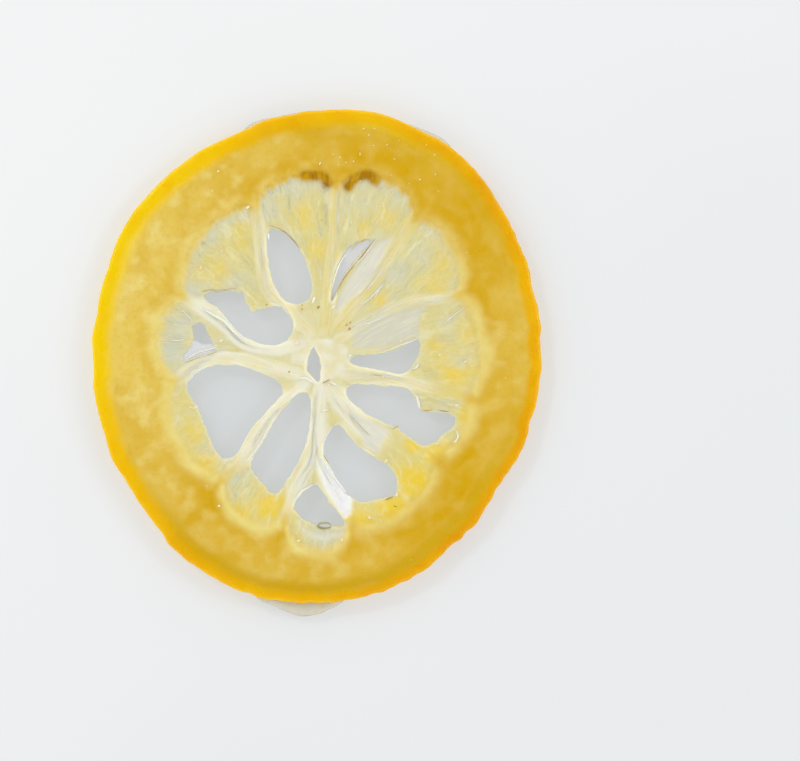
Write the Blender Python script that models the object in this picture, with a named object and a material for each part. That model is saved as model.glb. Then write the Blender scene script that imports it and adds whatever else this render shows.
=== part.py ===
"""A round of lemon that has lain in syrup: thick pale pith, eleven segments with most of their flesh
gone, and the walls between them still whole, so that light shows through the gaps.

The slice lies flat with a cut face up. Lengths are in millimetres until the mesh is made. The origin
is the middle of its box at the underside, +Z is up and +Y is the long way of the oval. Places inside
the rind are polar, (degrees, millimetres) round the core, because a lemon grows that way.
"""

import math

import bpy
import numpy as np
from mathutils import noise
from mathutils.geometry import delaunay_2d_cdt

MM = 0.001

# Driving dimensions.
WIDTH = 58.0
LENGTH = 64.0
THICKNESS = 2.6
CORE = np.array((0.6, -0.7))

# The slice is a little thicker towards -Y, as a hand-held knife leaves it.
WEDGE = 0.15

# The rim is an oval with a few flats and swellings: (direction, half spread, height).
RIM_SWELLINGS = ((62, 26, 1.1), (110, 9, -0.8), (150, 20, 0.5), (245, 20, 0.5), (318, 22, -0.9))
RIM_RIPPLE = 0.22
RIM_RIPPLE_LENGTH = 3.5

# The flesh is sunk below both faces of the pith, and its walls stand up again from it.
FLESH_SINK = 0.42
WALL_RISE = 0.26
SINK_STEP = 1.1
CORE_RADIUS = 3.3

# Each cut edge is eased by this much, in from the outline at half thickness.
RIM_EASE = 0.35
OPENING_EASE = 0.22

# Distances between points of the mesh.
RIM_SPACING = 1.1
OPENING_SPACING = 0.8
FLESH_SPACING = 1.5
PITH_SPACING = 2.3

# Walls between the segments: (width, reach of the segment that follows anticlockwise, middle line).
# The middle line runs from the core out to the pith, where its end is a notch between two segments.
WALLS = {
    "east": (1.6, 20.9, ((330, 2.6), (347, 8.0), (347, 11.9), (346, 19.5))),
    "north_east": (1.4, 22.7, ((53, 3.9), (41, 8.6), (34, 13.7), (26, 19.5))),
    "north_north_east": (1.8, 25.0, ((66, 5.0), (58, 14.2), (57, 22.0))),
    "north": (1.6, 24.2, ((84, 4.0), (84, 13.3), (85, 22.6))),
    "north_north_west": (1.5, 22.6, ((113, 4.2), (124, 8.9), (127, 11.7), (121, 15.2), (113, 21.9))),
    "west_north_west": (
        1.5, 21.5, ((141, 3.3), (164, 5.9), (168, 9.0), (165, 11.4), (159, 13.8), (155, 19.7)),
    ),
    "west": (1.5, 21.3, ((216, 3.1), (192, 4.9), (181, 7.8), (177, 10.9), (178, 14.5), (187, 19.0))),
    "south_west": (1.4, 22.8, ((232, 3.6), (227, 9.0), (230, 13.6), (231, 16.7), (230, 19.7))),
    "south_south_west": (1.5, 24.7, ((265, 3.6), (265, 8.8), (264, 12.8), (259, 16.2), (257, 21.0))),
    "south_south_east": (1.9, 22.1, ((267, 3.6), (266, 8.8), (269, 12.7), (275, 16.4), (280, 21.2))),
    "south_east": (2.4, 20.6, ((288, 4.0), (301, 9.2), (307, 13.6), (314, 16.8), (320, 19.4))),
}  # fmt: skip

# Gaps that run through the slice, where a segment has lost its flesh.
OPENINGS = {
    "core_slot": ((140, 2.0), (113, 1.3), (264, 2.4), (238, 2.4), (196, 1.9)),
    "east": (
        (358, 3.4), (10, 4.3), (8, 7.6), (10, 10.3),
        (14, 13.1), (3, 12.4), (352, 10.9), (352, 7.8),
    ),
    "north_crescent": (
        (67, 17.2), (71, 14.5), (75, 11.9), (78, 9.3),
        (81, 7.4), (82, 10.0), (80, 13.4), (75, 15.7),
    ),
    "north": (
        (111, 18.7), (104, 16.6), (100, 13.9), (97, 10.2),
        (105, 8.0), (121, 9.2), (121, 12.4), (116, 16.1),
    ),
    "north_west": (
        (151, 17.8), (142, 15.2), (140, 13.0), (144, 11.7), (138, 10.3), (126, 9.0),
        (125, 6.3), (147, 5.2), (163, 7.3), (161, 11.2), (153, 14.9),
    ),
    "west_small": (
        (161, 16.9), (164, 15.5), (169, 14.8), (173, 13.7),
        (177, 15.8), (179, 18.3), (174, 17.1), (168, 16.9),
    ),
    "west": (
        (188, 17.5), (183, 15.2), (182, 11.3), (191, 7.9), (215, 5.9), (221, 8.5),
        (223, 12.4), (227, 15.8), (225, 18.0), (214, 17.6), (201, 17.1), (193, 17.9),
    ),
    "south_west": (
        (234, 4.8), (248, 4.6), (259, 7.6), (258, 12.4), (254, 15.4),
        (251, 18.3), (243, 17.4), (235, 16.2), (234, 13.0), (230, 8.5),
    ),
    "south": ((266, 16.0), (271, 17.1), (277, 20.9), (270, 21.4), (263, 20.5), (260, 19.1), (262, 17.0)),
    "south_east": (
        (286, 8.2), (290, 10.4), (297, 13.5), (303, 16.2), (301, 19.0),
        (292, 19.3), (282, 18.2), (277, 14.9), (271, 12.0), (274, 9.6),
    ),
    "east_south_east": (
        (306, 5.1), (325, 5.0), (338, 8.4), (343, 11.7), (336, 13.6), (334, 14.7),
        (338, 17.8), (336, 19.1), (326, 18.1), (320, 17.0), (319, 13.4), (311, 9.1),
    ),
}  # fmt: skip


def clear_scene():
    for old in list(bpy.data.objects):
        bpy.data.objects.remove(old)


def round_core(points):
    """Polar points round the core as x, y."""
    angle, reach = np.radians([p[0] for p in points]), np.array([p[1] for p in points], float)
    return CORE + np.stack([np.cos(angle), np.sin(angle)], axis=1) * reach[:, None]


def spaced_along(line, spacing, closed):
    """Points about one spacing apart along a polyline."""
    if closed:
        line = np.vstack([line, line[:1]])
    steps = np.linalg.norm(np.diff(line, axis=0), axis=1)
    travelled = np.concatenate([[0.0], np.cumsum(steps)])
    count = max(4, round(travelled[-1] / spacing))
    stops = np.linspace(0.0, travelled[-1], count + 1)
    if closed:
        stops = stops[:-1]
    return np.stack([np.interp(stops, travelled, line[:, k]) for k in (0, 1)], axis=1)


def smooth_line(points, spacing, closed=False):
    """A Catmull-Rom curve through the points, read one spacing apart."""
    if closed:
        padded = np.vstack([points[-1:], points, points[:2]])
    else:
        padded = np.vstack([2 * points[:1] - points[1:2], points, 2 * points[-1:] - points[-2:-1]])
    fine = []
    for before, start, end, after in zip(padded, padded[1:], padded[2:], padded[3:]):
        for t in np.linspace(0.0, 1.0, 12, endpoint=False):
            fine.append(
                0.5
                * (
                    2 * start
                    + (end - before) * t
                    + (2 * before - 5 * start + 4 * end - after) * t**2
                    + (3 * start - before - 3 * end + after) * t**3
                )
            )
    if not closed:
        fine.append(points[-1])
    return spaced_along(np.array(fine), spacing, closed)


def angle_between(degrees, other):
    """The signed turn from other to degrees, between -180 and 180."""
    return (degrees - other + 180.0) % 360.0 - 180.0


def rim_outline():
    """The outline at half thickness, anticlockwise, fitted to WIDTH and LENGTH about the origin."""
    degrees = np.linspace(0.0, 360.0, 721)[:-1]
    turn = np.radians(degrees)
    half_width, half_length = WIDTH / 2, LENGTH / 2
    reach = half_width * half_length / np.hypot(half_length * np.cos(turn), half_width * np.sin(turn))
    for direction, spread, height in RIM_SWELLINGS:
        reach += height * np.exp(-((angle_between(degrees, direction) / spread) ** 2))
    ways = np.stack([np.cos(turn), np.sin(turn)], axis=1)
    for i, way in enumerate(ways):
        x, y = way * half_width / RIM_RIPPLE_LENGTH
        reach[i] += RIM_RIPPLE * noise.noise((x, y, 0.0))
    line = spaced_along(ways * reach[:, None], RIM_SPACING, closed=True)
    low, high = line.min(axis=0), line.max(axis=0)
    return (line - (low + high) / 2) * np.array((WIDTH, LENGTH)) / (high - low)


def clockwise(loop):
    x, y = loop[:, 0], loop[:, 1]
    area = np.dot(x, np.roll(y, -1)) - np.dot(y, np.roll(x, -1))
    return loop if area < 0 else loop[::-1]


def away_from_solid(loop):
    """Unit normals that point out of the solid, to the right of the way the loop runs."""
    along = np.roll(loop, -1, axis=0) - np.roll(loop, 1, axis=0)
    along /= np.linalg.norm(along, axis=1)[:, None]
    return np.stack([along[:, 1], -along[:, 0]], axis=1)


def segment_edge(degrees):
    """The reach of the flesh from the core in this direction: a scallop from wall to wall."""
    notches = [(*line[-1], reach) for _, reach, line in WALLS.values()]
    notches.sort()
    for (start, notch, reach), (end, next_notch, _) in zip(notches, notches[1:] + notches[:1]):
        share = (degrees - start) % 360 / ((end - start) % 360)
        if share < 1:
            swell = reach - (notch + next_notch) / 2
            return notch + (next_notch - notch) * share + swell * (1 - abs(2 * share - 1) ** 3)
    return 0.0


def ease(value):
    """0 at 0 and 1 at 1, level at both ends."""
    value = min(1.0, max(0.0, value))
    return value * value * (3 - 2 * value)


def sink_at(point, wall_lines):
    """How far each face lies below the pith's at a point."""
    from_core = point - CORE
    reach = math.hypot(*from_core)
    degrees = math.degrees(math.atan2(from_core[1], from_core[0]))
    inside = ease((segment_edge(degrees) - reach) / SINK_STEP)
    if inside == 0.0:
        return 0.0
    rise = ease((CORE_RADIUS - reach) / SINK_STEP)
    for width, line in wall_lines:
        gap = np.linalg.norm(line - point, axis=1).min()
        rise = max(rise, ease((width - gap) / width))
    return inside * (FLESH_SINK - WALL_RISE * rise)


def in_solid(point, loops):
    """Whether a point is inside the rim and in none of the openings, by counting the edges it faces."""
    crossings = 0
    for loop in loops:
        ahead = np.roll(loop, -1, axis=0)
        spans = (loop[:, 1] > point[1]) != (ahead[:, 1] > point[1])
        start, end = loop[spans], ahead[spans]
        meets = start[:, 0] + (point[1] - start[:, 1]) * (end[:, 0] - start[:, 0]) / (end[:, 1] - start[:, 1])
        crossings += np.count_nonzero(meets > point[0])
    return crossings % 2 == 1


def keep_clear(points, placed, gap):
    """The points that lie at least a gap from what is placed and from each other."""
    kept = []
    for point in points:
        if np.linalg.norm(placed - point, axis=1).min() < gap:
            continue
        if kept and np.linalg.norm(np.array(kept) - point, axis=1).min() < gap:
            continue
        kept.append(point)
    return np.array(kept).reshape(-1, 2)


def segment_rings():
    """Points on both sides of the step from pith to flesh."""
    rings = []
    for inset in (0.0, SINK_STEP):
        ring = [(degrees, segment_edge(degrees) - inset) for degrees in range(0, 360, 1)]
        rings.append(spaced_along(round_core(ring), FLESH_SPACING, closed=True))
    return np.vstack(rings)


def filler_grid(spacing, wanted):
    """A triangular grid over the slice, of the points where wanted says so."""
    rows = int(LENGTH / spacing / math.sqrt(0.75)) + 1
    columns = int(WIDTH / spacing) + 2
    found = []
    for row in range(rows):
        for column in range(columns):
            x = (column + 0.5 * (row % 2)) * spacing - WIDTH / 2
            y = row * spacing * math.sqrt(0.75) - LENGTH / 2
            if wanted(np.array((x, y))):
                found.append((x, y))
    return np.array(found)


def in_flesh(point):
    from_core = point - CORE
    degrees = math.degrees(math.atan2(from_core[1], from_core[0]))
    return math.hypot(*from_core) < segment_edge(degrees) - SINK_STEP


def plan_points(edges):
    """Points inside the slice for the two faces, which both use the same plan."""
    placed = np.vstack(edges)
    layers = [
        (np.vstack([smooth_line(round_core(line), OPENING_SPACING) for _, _, line in WALLS.values()]), 0.55),
        (segment_rings(), 0.7),
        (filler_grid(FLESH_SPACING, in_flesh), 0.9),
        (filler_grid(PITH_SPACING, lambda point: not in_flesh(point)), 1.2),
    ]
    for points, gap in layers:
        solid = np.array([point for point in points if in_solid(point, edges)])
        placed = np.vstack([placed, keep_clear(solid, placed, gap)])
    return placed


def build_slice():
    outlines = [(rim_outline(), RIM_EASE)]
    for points in OPENINGS.values():
        loop = smooth_line(round_core(points), OPENING_SPACING, closed=True)
        outlines.append((clockwise(loop), OPENING_EASE))
    edges = [loop - away_from_solid(loop) * inset for loop, inset in outlines]

    placed = plan_points(edges)
    constraints, first = [], 0
    for loop in edges:
        constraints += [(first + i, first + (i + 1) % len(loop)) for i in range(len(loop))]
        first += len(loop)
    inside_rim = 1
    made = delaunay_2d_cdt([tuple(p) for p in placed], constraints, [], inside_rim, 1e-6)
    plan, sources = np.array([tuple(p) for p in made[0]]), made[3]
    triangles = [corners for corners in made[2] if in_solid(plan[corners].mean(axis=0), edges)]
    plan_index = {source: i for i, all_sources in enumerate(sources) for source in all_sources}

    wall_lines = [(width / 2, smooth_line(round_core(line), 0.3)) for width, _, line in WALLS.values()]
    vertices, faces = [], []
    upper_faces, lower_faces = {}, {}
    for i in sorted({corner for triangle in triangles for corner in triangle}):
        point = plan[i]
        sink = sink_at(point, wall_lines)
        top = THICKNESS - WEDGE * point[1] / (LENGTH / 2) - sink
        upper_faces[i] = len(vertices)
        vertices.append((*point, top))
        lower_faces[i] = len(vertices)
        vertices.append((*point, sink))
    for a, b, c in triangles:
        faces.append((upper_faces[a], upper_faces[b], upper_faces[c]))
        faces.append((lower_faces[c], lower_faces[b], lower_faces[a]))

    first = 0
    for loop, inset in outlines:
        corners = [plan_index[first + i] for i in range(len(loop))]
        rings = [[upper_faces[i] for i in corners]]
        for height in (0.72, 0.28):
            rings.append([len(vertices) + i for i in range(len(loop))])
            for point, corner in zip(loop, corners):
                low, high = vertices[lower_faces[corner]][2], vertices[upper_faces[corner]][2]
                vertices.append((*point, low + (high - low) * height))
        rings.append([lower_faces[i] for i in corners])
        for upper, lower in zip(rings, rings[1:]):
            for i in range(len(loop)):
                j = (i + 1) % len(loop)
                faces.append((upper[i], lower[i], lower[j], upper[j]))
        first += len(loop)

    mesh = bpy.data.meshes.new("lemon_slice")
    mesh.from_pydata([(x * MM, y * MM, z * MM) for x, y, z in vertices], [], faces)
    mesh.update()
    slice_object = bpy.data.objects.new("lemon_slice", mesh)
    bpy.context.scene.collection.objects.link(slice_object)
    return slice_object


def paint(slice_object):
    """Moist pale yellow flesh."""
    material = bpy.data.materials.new("lemon_flesh")
    material.use_nodes = True
    shader = material.node_tree.nodes["Principled BSDF"]
    shader.inputs["Base Color"].default_value = (0.76, 0.52, 0.08, 1.0)
    shader.inputs["Roughness"].default_value = 0.35
    shader.inputs["Metallic"].default_value = 0.0
    slice_object.data.materials.append(material)
    slice_object.data.shade_smooth()
    slice_object.data.set_sharp_from_angle(angle=math.radians(50))


clear_scene()
paint(build_slice())
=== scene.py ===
"""Looks of a round of lemon that has lain in syrup: rind, spongy pith, the flesh that is left in the
segments, the walls between them, loose skins of flesh, fibres, syrup and a few specks.

Lengths are in millimetres until a mesh is made. Places inside the rind are polar, (degrees,
millimetres) round the core, because a lemon grows that way.
"""

import math
from collections import namedtuple

import bmesh
import bpy
import numpy as np
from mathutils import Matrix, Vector, noise
from mathutils.geometry import delaunay_2d_cdt
from mathutils.kdtree import KDTree


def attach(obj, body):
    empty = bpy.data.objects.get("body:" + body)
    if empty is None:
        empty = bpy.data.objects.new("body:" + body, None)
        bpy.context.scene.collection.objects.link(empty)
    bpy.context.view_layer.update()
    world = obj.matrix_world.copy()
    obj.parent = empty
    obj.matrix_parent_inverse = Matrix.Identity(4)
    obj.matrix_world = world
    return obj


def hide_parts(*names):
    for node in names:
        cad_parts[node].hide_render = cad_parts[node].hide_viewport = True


MM = 0.001

# The slice: where its core lies, its thickness halfway along, how much of that its far end lacks, and
# its length.
CORE = np.array((0.6, -0.7))
THICKNESS = 2.6
WEDGE = 0.15
LENGTH = 64.0

# How wide the eased edges are, how thick the clear skins are, how far apart and how deep the oil glands
# in the rind are, and the beads' size against their radii in the tables.
RIM_EASE = 0.42
OPENING_EASE = 0.30
SKIN_THICKNESS = 0.07
OIL_GLAND = 0.85
GLAND_DEPTH = 0.09
BEAD_SIZE = 0.85

# How far apart the points of the mesh are, and how many rows of them go round the side of the rind.
RIM_SPACING = 0.3
OPENING_SPACING = 0.2
FLESH_SPACING = 0.22
PITH_SPACING = 0.34
UNDERSIDE_SPACING = 0.6
WALL_STEP = 0.15
RIM_ROWS = 6

# Juice sacs side by side in a segment, and the step in pattern space from one segment to the next.
SACS_ACROSS = 9.0
SEGMENT_STEP = 20.0

# Walls between the segments. The line runs from the core out to the pith, where its end is a notch
# between two segments. The reach is that of the segment that follows anticlockwise, the tone says how
# white the wall is, and past its fade it turns into pith, by the share that is its loss.
Wall = namedtuple("Wall", "width reach tone fade loss line")
WALLS = {
    "east": Wall(1.6, 20.9, 0.50, 15.5, 0.9, ((330, 2.6), (347, 8.0), (347, 11.9), (346, 19.5))),
    "north_east": Wall(1.4, 22.7, 0.45, 19.5, 0.35, ((53, 3.9), (41, 8.6), (34, 13.7), (26, 19.5))),
    "north_north_east": Wall(1.8, 25.0, 0.20, 21.0, 0.35, ((66, 5.0), (58, 14.2), (57, 22.0))),
    "north": Wall(1.6, 24.2, 0.15, 22.5, 0.35, ((84, 4.0), (84, 13.3), (85, 22.6))),
    "north_north_west": Wall(1.5, 22.6, 0.45, 21.0, 0.35, (
        (113, 4.2), (124, 8.9), (127, 11.7), (121, 15.2), (113, 21.9),
    )),
    # This wall's full white tone is partly its own colour and partly a painted highlight.
    "west_north_west": Wall(1.5, 21.5, 1.00, 19.5, 0.35, (
        (141, 3.3), (164, 5.9), (168, 9.0), (165, 11.4), (159, 13.8), (155, 19.7),
    )),
    "west": Wall(1.5, 21.3, 0.75, 19.0, 0.35, (
        (216, 3.1), (192, 4.9), (181, 7.8), (177, 10.9), (178, 14.5), (187, 19.0),
    )),
    "south_west": Wall(1.4, 22.8, 0.80, 17.5, 0.35, (
        (232, 3.6), (227, 9.0), (230, 13.6), (231, 16.7), (230, 19.7),
    )),
    "south_south_west": Wall(1.5, 24.7, 0.85, 20.0, 0.35, (
        (265, 3.6), (265, 8.8), (264, 12.8), (259, 16.2), (257, 21.0),
    )),
    "south_south_east": Wall(1.9, 22.1, 0.95, 18.5, 0.35, (
        (267, 3.6), (266, 8.8), (269, 12.7), (275, 16.4), (280, 21.2),
    )),
    "south_east": Wall(2.4, 20.6, 0.85, 14.0, 1.0, (
        (288, 4.0), (301, 9.2), (307, 13.6), (314, 16.8), (320, 19.4),
    )),
}

# Smooth skins of flesh that lean from a wall down into a gap: (how white, outline).
FILMS = {
    "north": (0.25, (
        (77, 6.5), (79, 7.9), (77, 9.7), (73, 12.4), (69, 14.9), (66, 17.3), (60, 19.0), (59, 16.8),
        (58, 14.3), (58, 10.9), (64, 8.2), (68, 6.7),
    )),
    "north_east": (0.05, (
        (21, 4.2), (11, 7.4), (11, 11.1), (15, 13.3), (23, 14.3), (28, 15.9), (34, 12.9), (39, 9.5),
        (46, 6.1), (42, 5.0),
    )),
    "south_east": (0.30, (
        (301, 6.2), (307, 8.2), (317, 12.6), (314, 13.0), (306, 13.6), (302, 14.8), (300, 14.2),
        (295, 12.2), (295, 10.4), (292, 8.5),
    )),
    "south": (1.00, (
        (266.5, 12.4), (271, 12.2), (276, 13.8), (283, 16.2), (284, 18.0), (281.5, 20.4), (277, 20.6),
        (272.5, 17.8), (268.5, 15.2),
    )),
    "south_lip": (0.35, (
        (262, 20.4), (265, 21.4), (270, 22.0), (276, 21.6), (278, 20.7), (281, 21.3), (278, 22.7),
        (271, 23.3), (265, 22.9), (262, 21.7),
    )),
    "west": (0.10, (
        (182, 18.3), (175, 18.2), (172.5, 16.1), (171, 13.4), (172, 12.0), (176, 12.8), (180, 15.8),
    )),
}

# Where the juice has stayed yellow, and where the flesh has gone clear: (degrees, reach, spread,
# strength).
YELLOW_PATCHES = (
    (122, 19.0, 3.0, 0.38), (137, 18.0, 2.4, 0.45), (146, 19.6, 1.8, 0.4), (95, 18.4, 2.0, 0.5),
    (97, 19.6, 2.4, 0.5), (92, 14.6, 1.6, 0.6), (73, 17.8, 1.4, 0.48), (66, 20.5, 2.0, 0.5),
    (40, 20.8, 2.6, 0.6), (47, 11.2, 1.2, 0.58), (34, 17.4, 2.2, 0.5), (12, 19.6, 2.4, 0.6),
    (356, 17.6, 3.0, 0.75), (8, 15.0, 1.6, 0.5), (340, 20.4, 1.8, 0.9), (322, 19.3, 2.6, 0.8),
    (308, 19.6, 2.8, 1.0), (296, 21.4, 2.6, 1.0), (284, 21.4, 2.0, 1.0), (262, 24.0, 1.8, 0.35),
    (250, 20.2, 2.0, 1.0), (256, 19.0, 1.4, 0.9), (243, 22.4, 2.0, 0.7), (222, 20.4, 2.4, 0.7),
    (209, 19.4, 2.2, 0.55), (196, 19.4, 1.6, 0.3), (168, 20.6, 1.0, 0.25), (27, 22.2, 1.8, 0.5),
    (317, 16.0, 1.4, 0.8),
)
CLEAR_PATCHES = (
    (111, 20.6, 1.8, 0.9), (108, 17.5, 1.2, 0.7), (84, 20.8, 2.4, 0.6), (99, 22.0, 1.8, 0.7),
    (131, 21.6, 1.6, 0.6), (152, 18.6, 2.2, 0.9), (217, 18.6, 1.4, 0.6), (168, 19.0, 2.2, 0.9),
    (139, 15.2, 1.8, 0.8), (75, 21.5, 2.4, 0.55), (66, 22.2, 1.5, 0.5), (50, 15.2, 2.2, 0.9),
    (47, 19.0, 2.4, 0.7), (38, 12.0, 1.8, 0.7), (58, 8.4, 1.4, 0.7), (16, 17.2, 2.2, 0.6),
    (0, 18.0, 1.6, 0.6), (176, 19.4, 1.9, 1.1), (184, 18.4, 1.8, 0.7), (163, 18.4, 1.6, 0.9),
    (233, 18.6, 1.5, 0.8), (239, 21.0, 1.2, 0.15), (190, 20.2, 1.4, 0.5), (270, 22.4, 2.2, 0.9),
    (336, 16.9, 1.5, 0.9), (98, 5.8, 1.2, 0.6), (205, 3.9, 0.9, 0.6), (186, 6.0, 1.0, 0.7),
    (15, 4.6, 0.8, 0.8), (213, 17.4, 1.0, 0.5),
)

# The rim by direction: how far in the rind reaches, its yellow, the pale glow and the olive shade just
# inside it, how deep the colour of the pith is, which is painted shade, and how pale the flesh's margin is.
RIM_COLUMNS = ("degrees", "rind_width", "rind_yellow", "glow", "olive", "pith_shade", "paleness")
RIM_LOOK = np.array((
    (0, 1.7, 0.40, 0.1, 0.2, 0.55, 0.9),
    (20, 1.8, 0.45, 0.1, 0.2, 0.75, 0.8),
    (42, 1.8, 0.25, 0.1, 0.5, 1.00, 0.7),
    (80, 1.9, 0.60, 0.5, 0.4, 0.85, 0.2),
    (100, 2.4, 0.50, 0.1, 0.4, 0.60, 0.2),
    (125, 2.1, 0.90, 0.4, 0.1, 0.30, 0.4),
    (150, 1.5, 1.00, 1.0, 0.0, 0.15, 0.7),
    (180, 1.9, 0.95, 0.4, 0.0, 0.00, 0.8),
    (205, 1.8, 0.70, 0.15, 0.1, 0.42, 0.9),
    (235, 1.8, 0.45, 0.0, 1.0, 0.72, 1.0),
    (260, 1.5, 0.60, 0.0, 1.2, 0.60, 1.0),
    (280, 1.3, 0.35, 0.0, 1.1, 0.65, 1.0),
    (305, 1.4, 0.15, 0.1, 1.0, 0.95, 1.0),
    (335, 1.4, 0.25, 0.1, 0.6, 0.80, 1.0),
))

# How far the rim swells out past the plain outline: (degrees, millimetres).
RIM_SWELLS = (
    (0, 0.18), (12, 0.27), (24, 0.28), (38, 0.35), (52, 0.3), (60, 0.25), (68, 0.0), (78, 0.25),
    (88, 0.08), (96, -0.25), (102, 0.15), (114, 0.27), (126, 0.0), (135, -0.05), (144, 0.22),
    (156, -0.06), (168, 0.0), (174, 0.35), (180, 0.1), (186, 0.45), (192, 0.3), (198, 0.18), (204, 0.32),
    (214, -0.16), (222, -0.28), (231, 0.0), (252, 0.05), (300, 0.08), (306, -0.1), (315, 0.3),
    (324, -0.15), (330, 0.0), (336, 0.28), (346, 0.05), (354, 0.0),
)

# Small pulls on the torn edges: (degrees, reach, spread, how far east, how far north).
TORN_PULLS = (
    (276.0, 21.2, 1.0, 0.65, -0.05), (260.4, 19.0, 0.9, -0.4, 0.0), (275.7, 17.9, 0.9, -0.35, -0.1),
    (266.7, 16.2, 0.7, 0.15, 0.35), (298.5, 19.3, 0.8, 0.3, -0.3), (142.1, 11.4, 0.55, -0.05, -0.5),
    (139.7, 13.4, 0.5, 0.15, 0.35), (165.1, 16.8, 0.6, -0.5, 0.1), (126.5, 1.7, 0.7, -0.1, 0.6),
    (253.0, 2.4, 0.7, 0.25, -0.35), (203.5, 1.8, 0.8, -0.18, 0.0), (258.5, 0.75, 0.8, 0.18, 0.0),
)

# Painted shadows at the outer ends of two segments.
END_SHADOW_ARCS = (
    ((81.4, 23.0), (80.0, 24.0), (78.2, 24.6), (76.5, 24.9), (75.0, 24.9), (73.5, 24.5)),
    ((95.0, 24.2), (93.6, 24.2), (92.2, 24.1), (90.6, 24.2), (89.2, 23.9), (88, 23.2)),
)

# Painted highlights, white lines where a wall or a skin turns up: (half width, line).
HIGHLIGHT_LINES = (
    (0.08, ((101, 15.2), (100, 14.6), (98.5, 13.8))), (0.13, ((112.5, 18.1), (113.5, 17.3))),
    (0.09, ((66, 17.5), (67, 16.1), (68.5, 14.7), (70.5, 13.6), (73.5, 12.2))),
    (0.09, ((77.5, 14.3), (79.5, 13.0), (81, 11.4), (82, 9.7))), (0.2, ((96, 8.5), (99, 7.7))),
    (0.12, ((81, 6.9), (76.5, 7.6))), (0.09, ((52, 13.5), (51.5, 11.9), (50.5, 10.7))),
    (0.09, ((52, 13.5), (52, 12.0), (52.5, 10.8), (54, 9.5), (57.5, 8.4))),
    (0.07, ((21, 19.8), (19.5, 18.2), (17.5, 16.6))),
    (0.08, ((11.5, 7.1), (10, 8.5), (12, 10.3), (13, 11.9), (14.5, 13.3))),
    (0.13, ((355, 11.7), (357, 12.3), (359, 12.6))), (0.17, ((341, 12.9), (338.5, 13.4), (334.5, 14.1))),
    (0.09, ((295.5, 12.4), (297.5, 13.1), (299.5, 14.1))), (0.1, ((324, 18.2), (325.5, 18.5))),
    (0.13, ((328.5, 20.0), (331, 20.2), (333, 19.6))), (0.09, ((341.5, 18.2), (343, 18.6))),
    (0.08, ((44, 6.7), (37.5, 8.8), (34.5, 10.9))), (0.16, ((10, 3.4), (14, 4.0))),
    (0.15, ((292, 2.9), (303, 3.5))),
    (0.09, ((179, 18.4), (178.5, 17.5), (175.5, 16.0), (173, 14.3), (171.5, 13.5))),
    (0.22, ((156, 16.8), (156.5, 15.2), (157.5, 13.6), (161.5, 11.8), (164, 10.7))),
    (0.09, ((186.5, 17.3), (184, 16.6), (183, 15.7))),
    (0.13, ((233, 16.5), (233, 14.7), (233, 13.2), (232, 11.9), (230.5, 10.2))),
    (0.16, ((216, 3.8), (224, 3.0), (247, 2.9))), (0.1, ((138, 2.2), (114, 2.4))),
    (0.1, ((268, 6.4), (279, 6.2))), (0.08, ((160.5, 19.9), (160, 19.1), (161.5, 18.1), (163, 17.5))),
    (0.08, ((172, 19.7), (171.5, 18.7), (170.5, 18.0))),
    (0.16, ((259, 18.3), (261, 17.0), (263.5, 16.4), (266, 15.9))),
    (0.15, ((271.5, 13.4), (275, 14.6), (278, 15.9), (280.5, 17.2))),
    (0.1, ((271, 14.2), (273.5, 15.2), (276.5, 16.8), (278.5, 18.4))),
    (0.08, ((270.5, 10.4), (273.5, 9.6), (277, 8.9))),
)

# Thin dark lines along torn edges, painted shadow: (half width, line).
EDGE_SHADOW_LINES = (
    (0.06, ((149.5, 18.0), (146.5, 17.0), (146.5, 16.4), (144, 15.7), (141.5, 15.2), (139.5, 14.6))),
    (0.06, ((111, 19.0), (108, 18.2), (106, 17.5), (104.5, 16.8), (102.5, 15.8), (101, 14.9))),
    (0.07, ((66.5, 17.4), (68, 16.0), (69.5, 14.4), (72, 12.9), (75, 11.3), (77, 10.0), (77, 8.9))),
    (0.05, ((70, 17.1), (73.5, 15.8), (76, 14.6))), (0.06, ((316.5, 12.7), (319, 12.8), (320, 13.1))),
    (0.06, ((333.5, 14.2), (335, 15.0), (336.5, 15.6))), (0.05, ((337.5, 16.4), (338.5, 17.7))),
    (0.05, ((180.5, 17.8), (178.5, 16.3), (176.5, 14.8), (173.5, 13.2))),
    (0.05, ((271, 2.8), (296, 2.5))), (0.1, ((294.5, 19.7), (296.5, 19.7), (298, 19.8))),
    (0.06, ((296.5, 20.8), (297.5, 21.2))), (0.05, ((271, 12.0), (274, 13.2))),
)

# Beads of syrup, pale as a painted highlight on each, and flecks of browned juice: (degrees, reach, radius).
BEADS = (
    (90.5, 25.7, 0.2), (85, 26.6, 0.14), (83, 26.0, 0.13), (81, 26.3, 0.14), (79.5, 27.3, 0.12),
    (78, 18.4, 0.18), (70.5, 21.4, 0.14), (69.5, 21.5, 0.11), (68.5, 19.7, 0.1), (91, 16.4, 0.1),
    (118.5, 28.1, 0.17), (115.5, 22.2, 0.28), (132, 19.3, 0.2), (142, 19.9, 0.22), (122.5, 26.3, 0.12),
    (100.5, 23.1, 0.13), (303, 15.3, 0.28), (299.5, 19.8, 0.26), (287, 21.1, 0.24), (290.5, 21.9, 0.14),
    (276.5, 23.2, 0.22), (262.5, 23.4, 0.28), (143, 4.0, 0.3), (179, 5.9, 0.22), (168, 13.3, 0.26),
    (217, 18.7, 0.2), (199, 18.0, 0.2), (288, 3.1, 0.2), (0, 18.6, 0.2), (346, 8.2, 0.2),
    (329.5, 20.2, 0.26), (3.5, 15.3, 0.16), (15, 10.6, 0.14), (234.5, 22.9, 0.22), (98, 7.8, 0.18),
)
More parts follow.
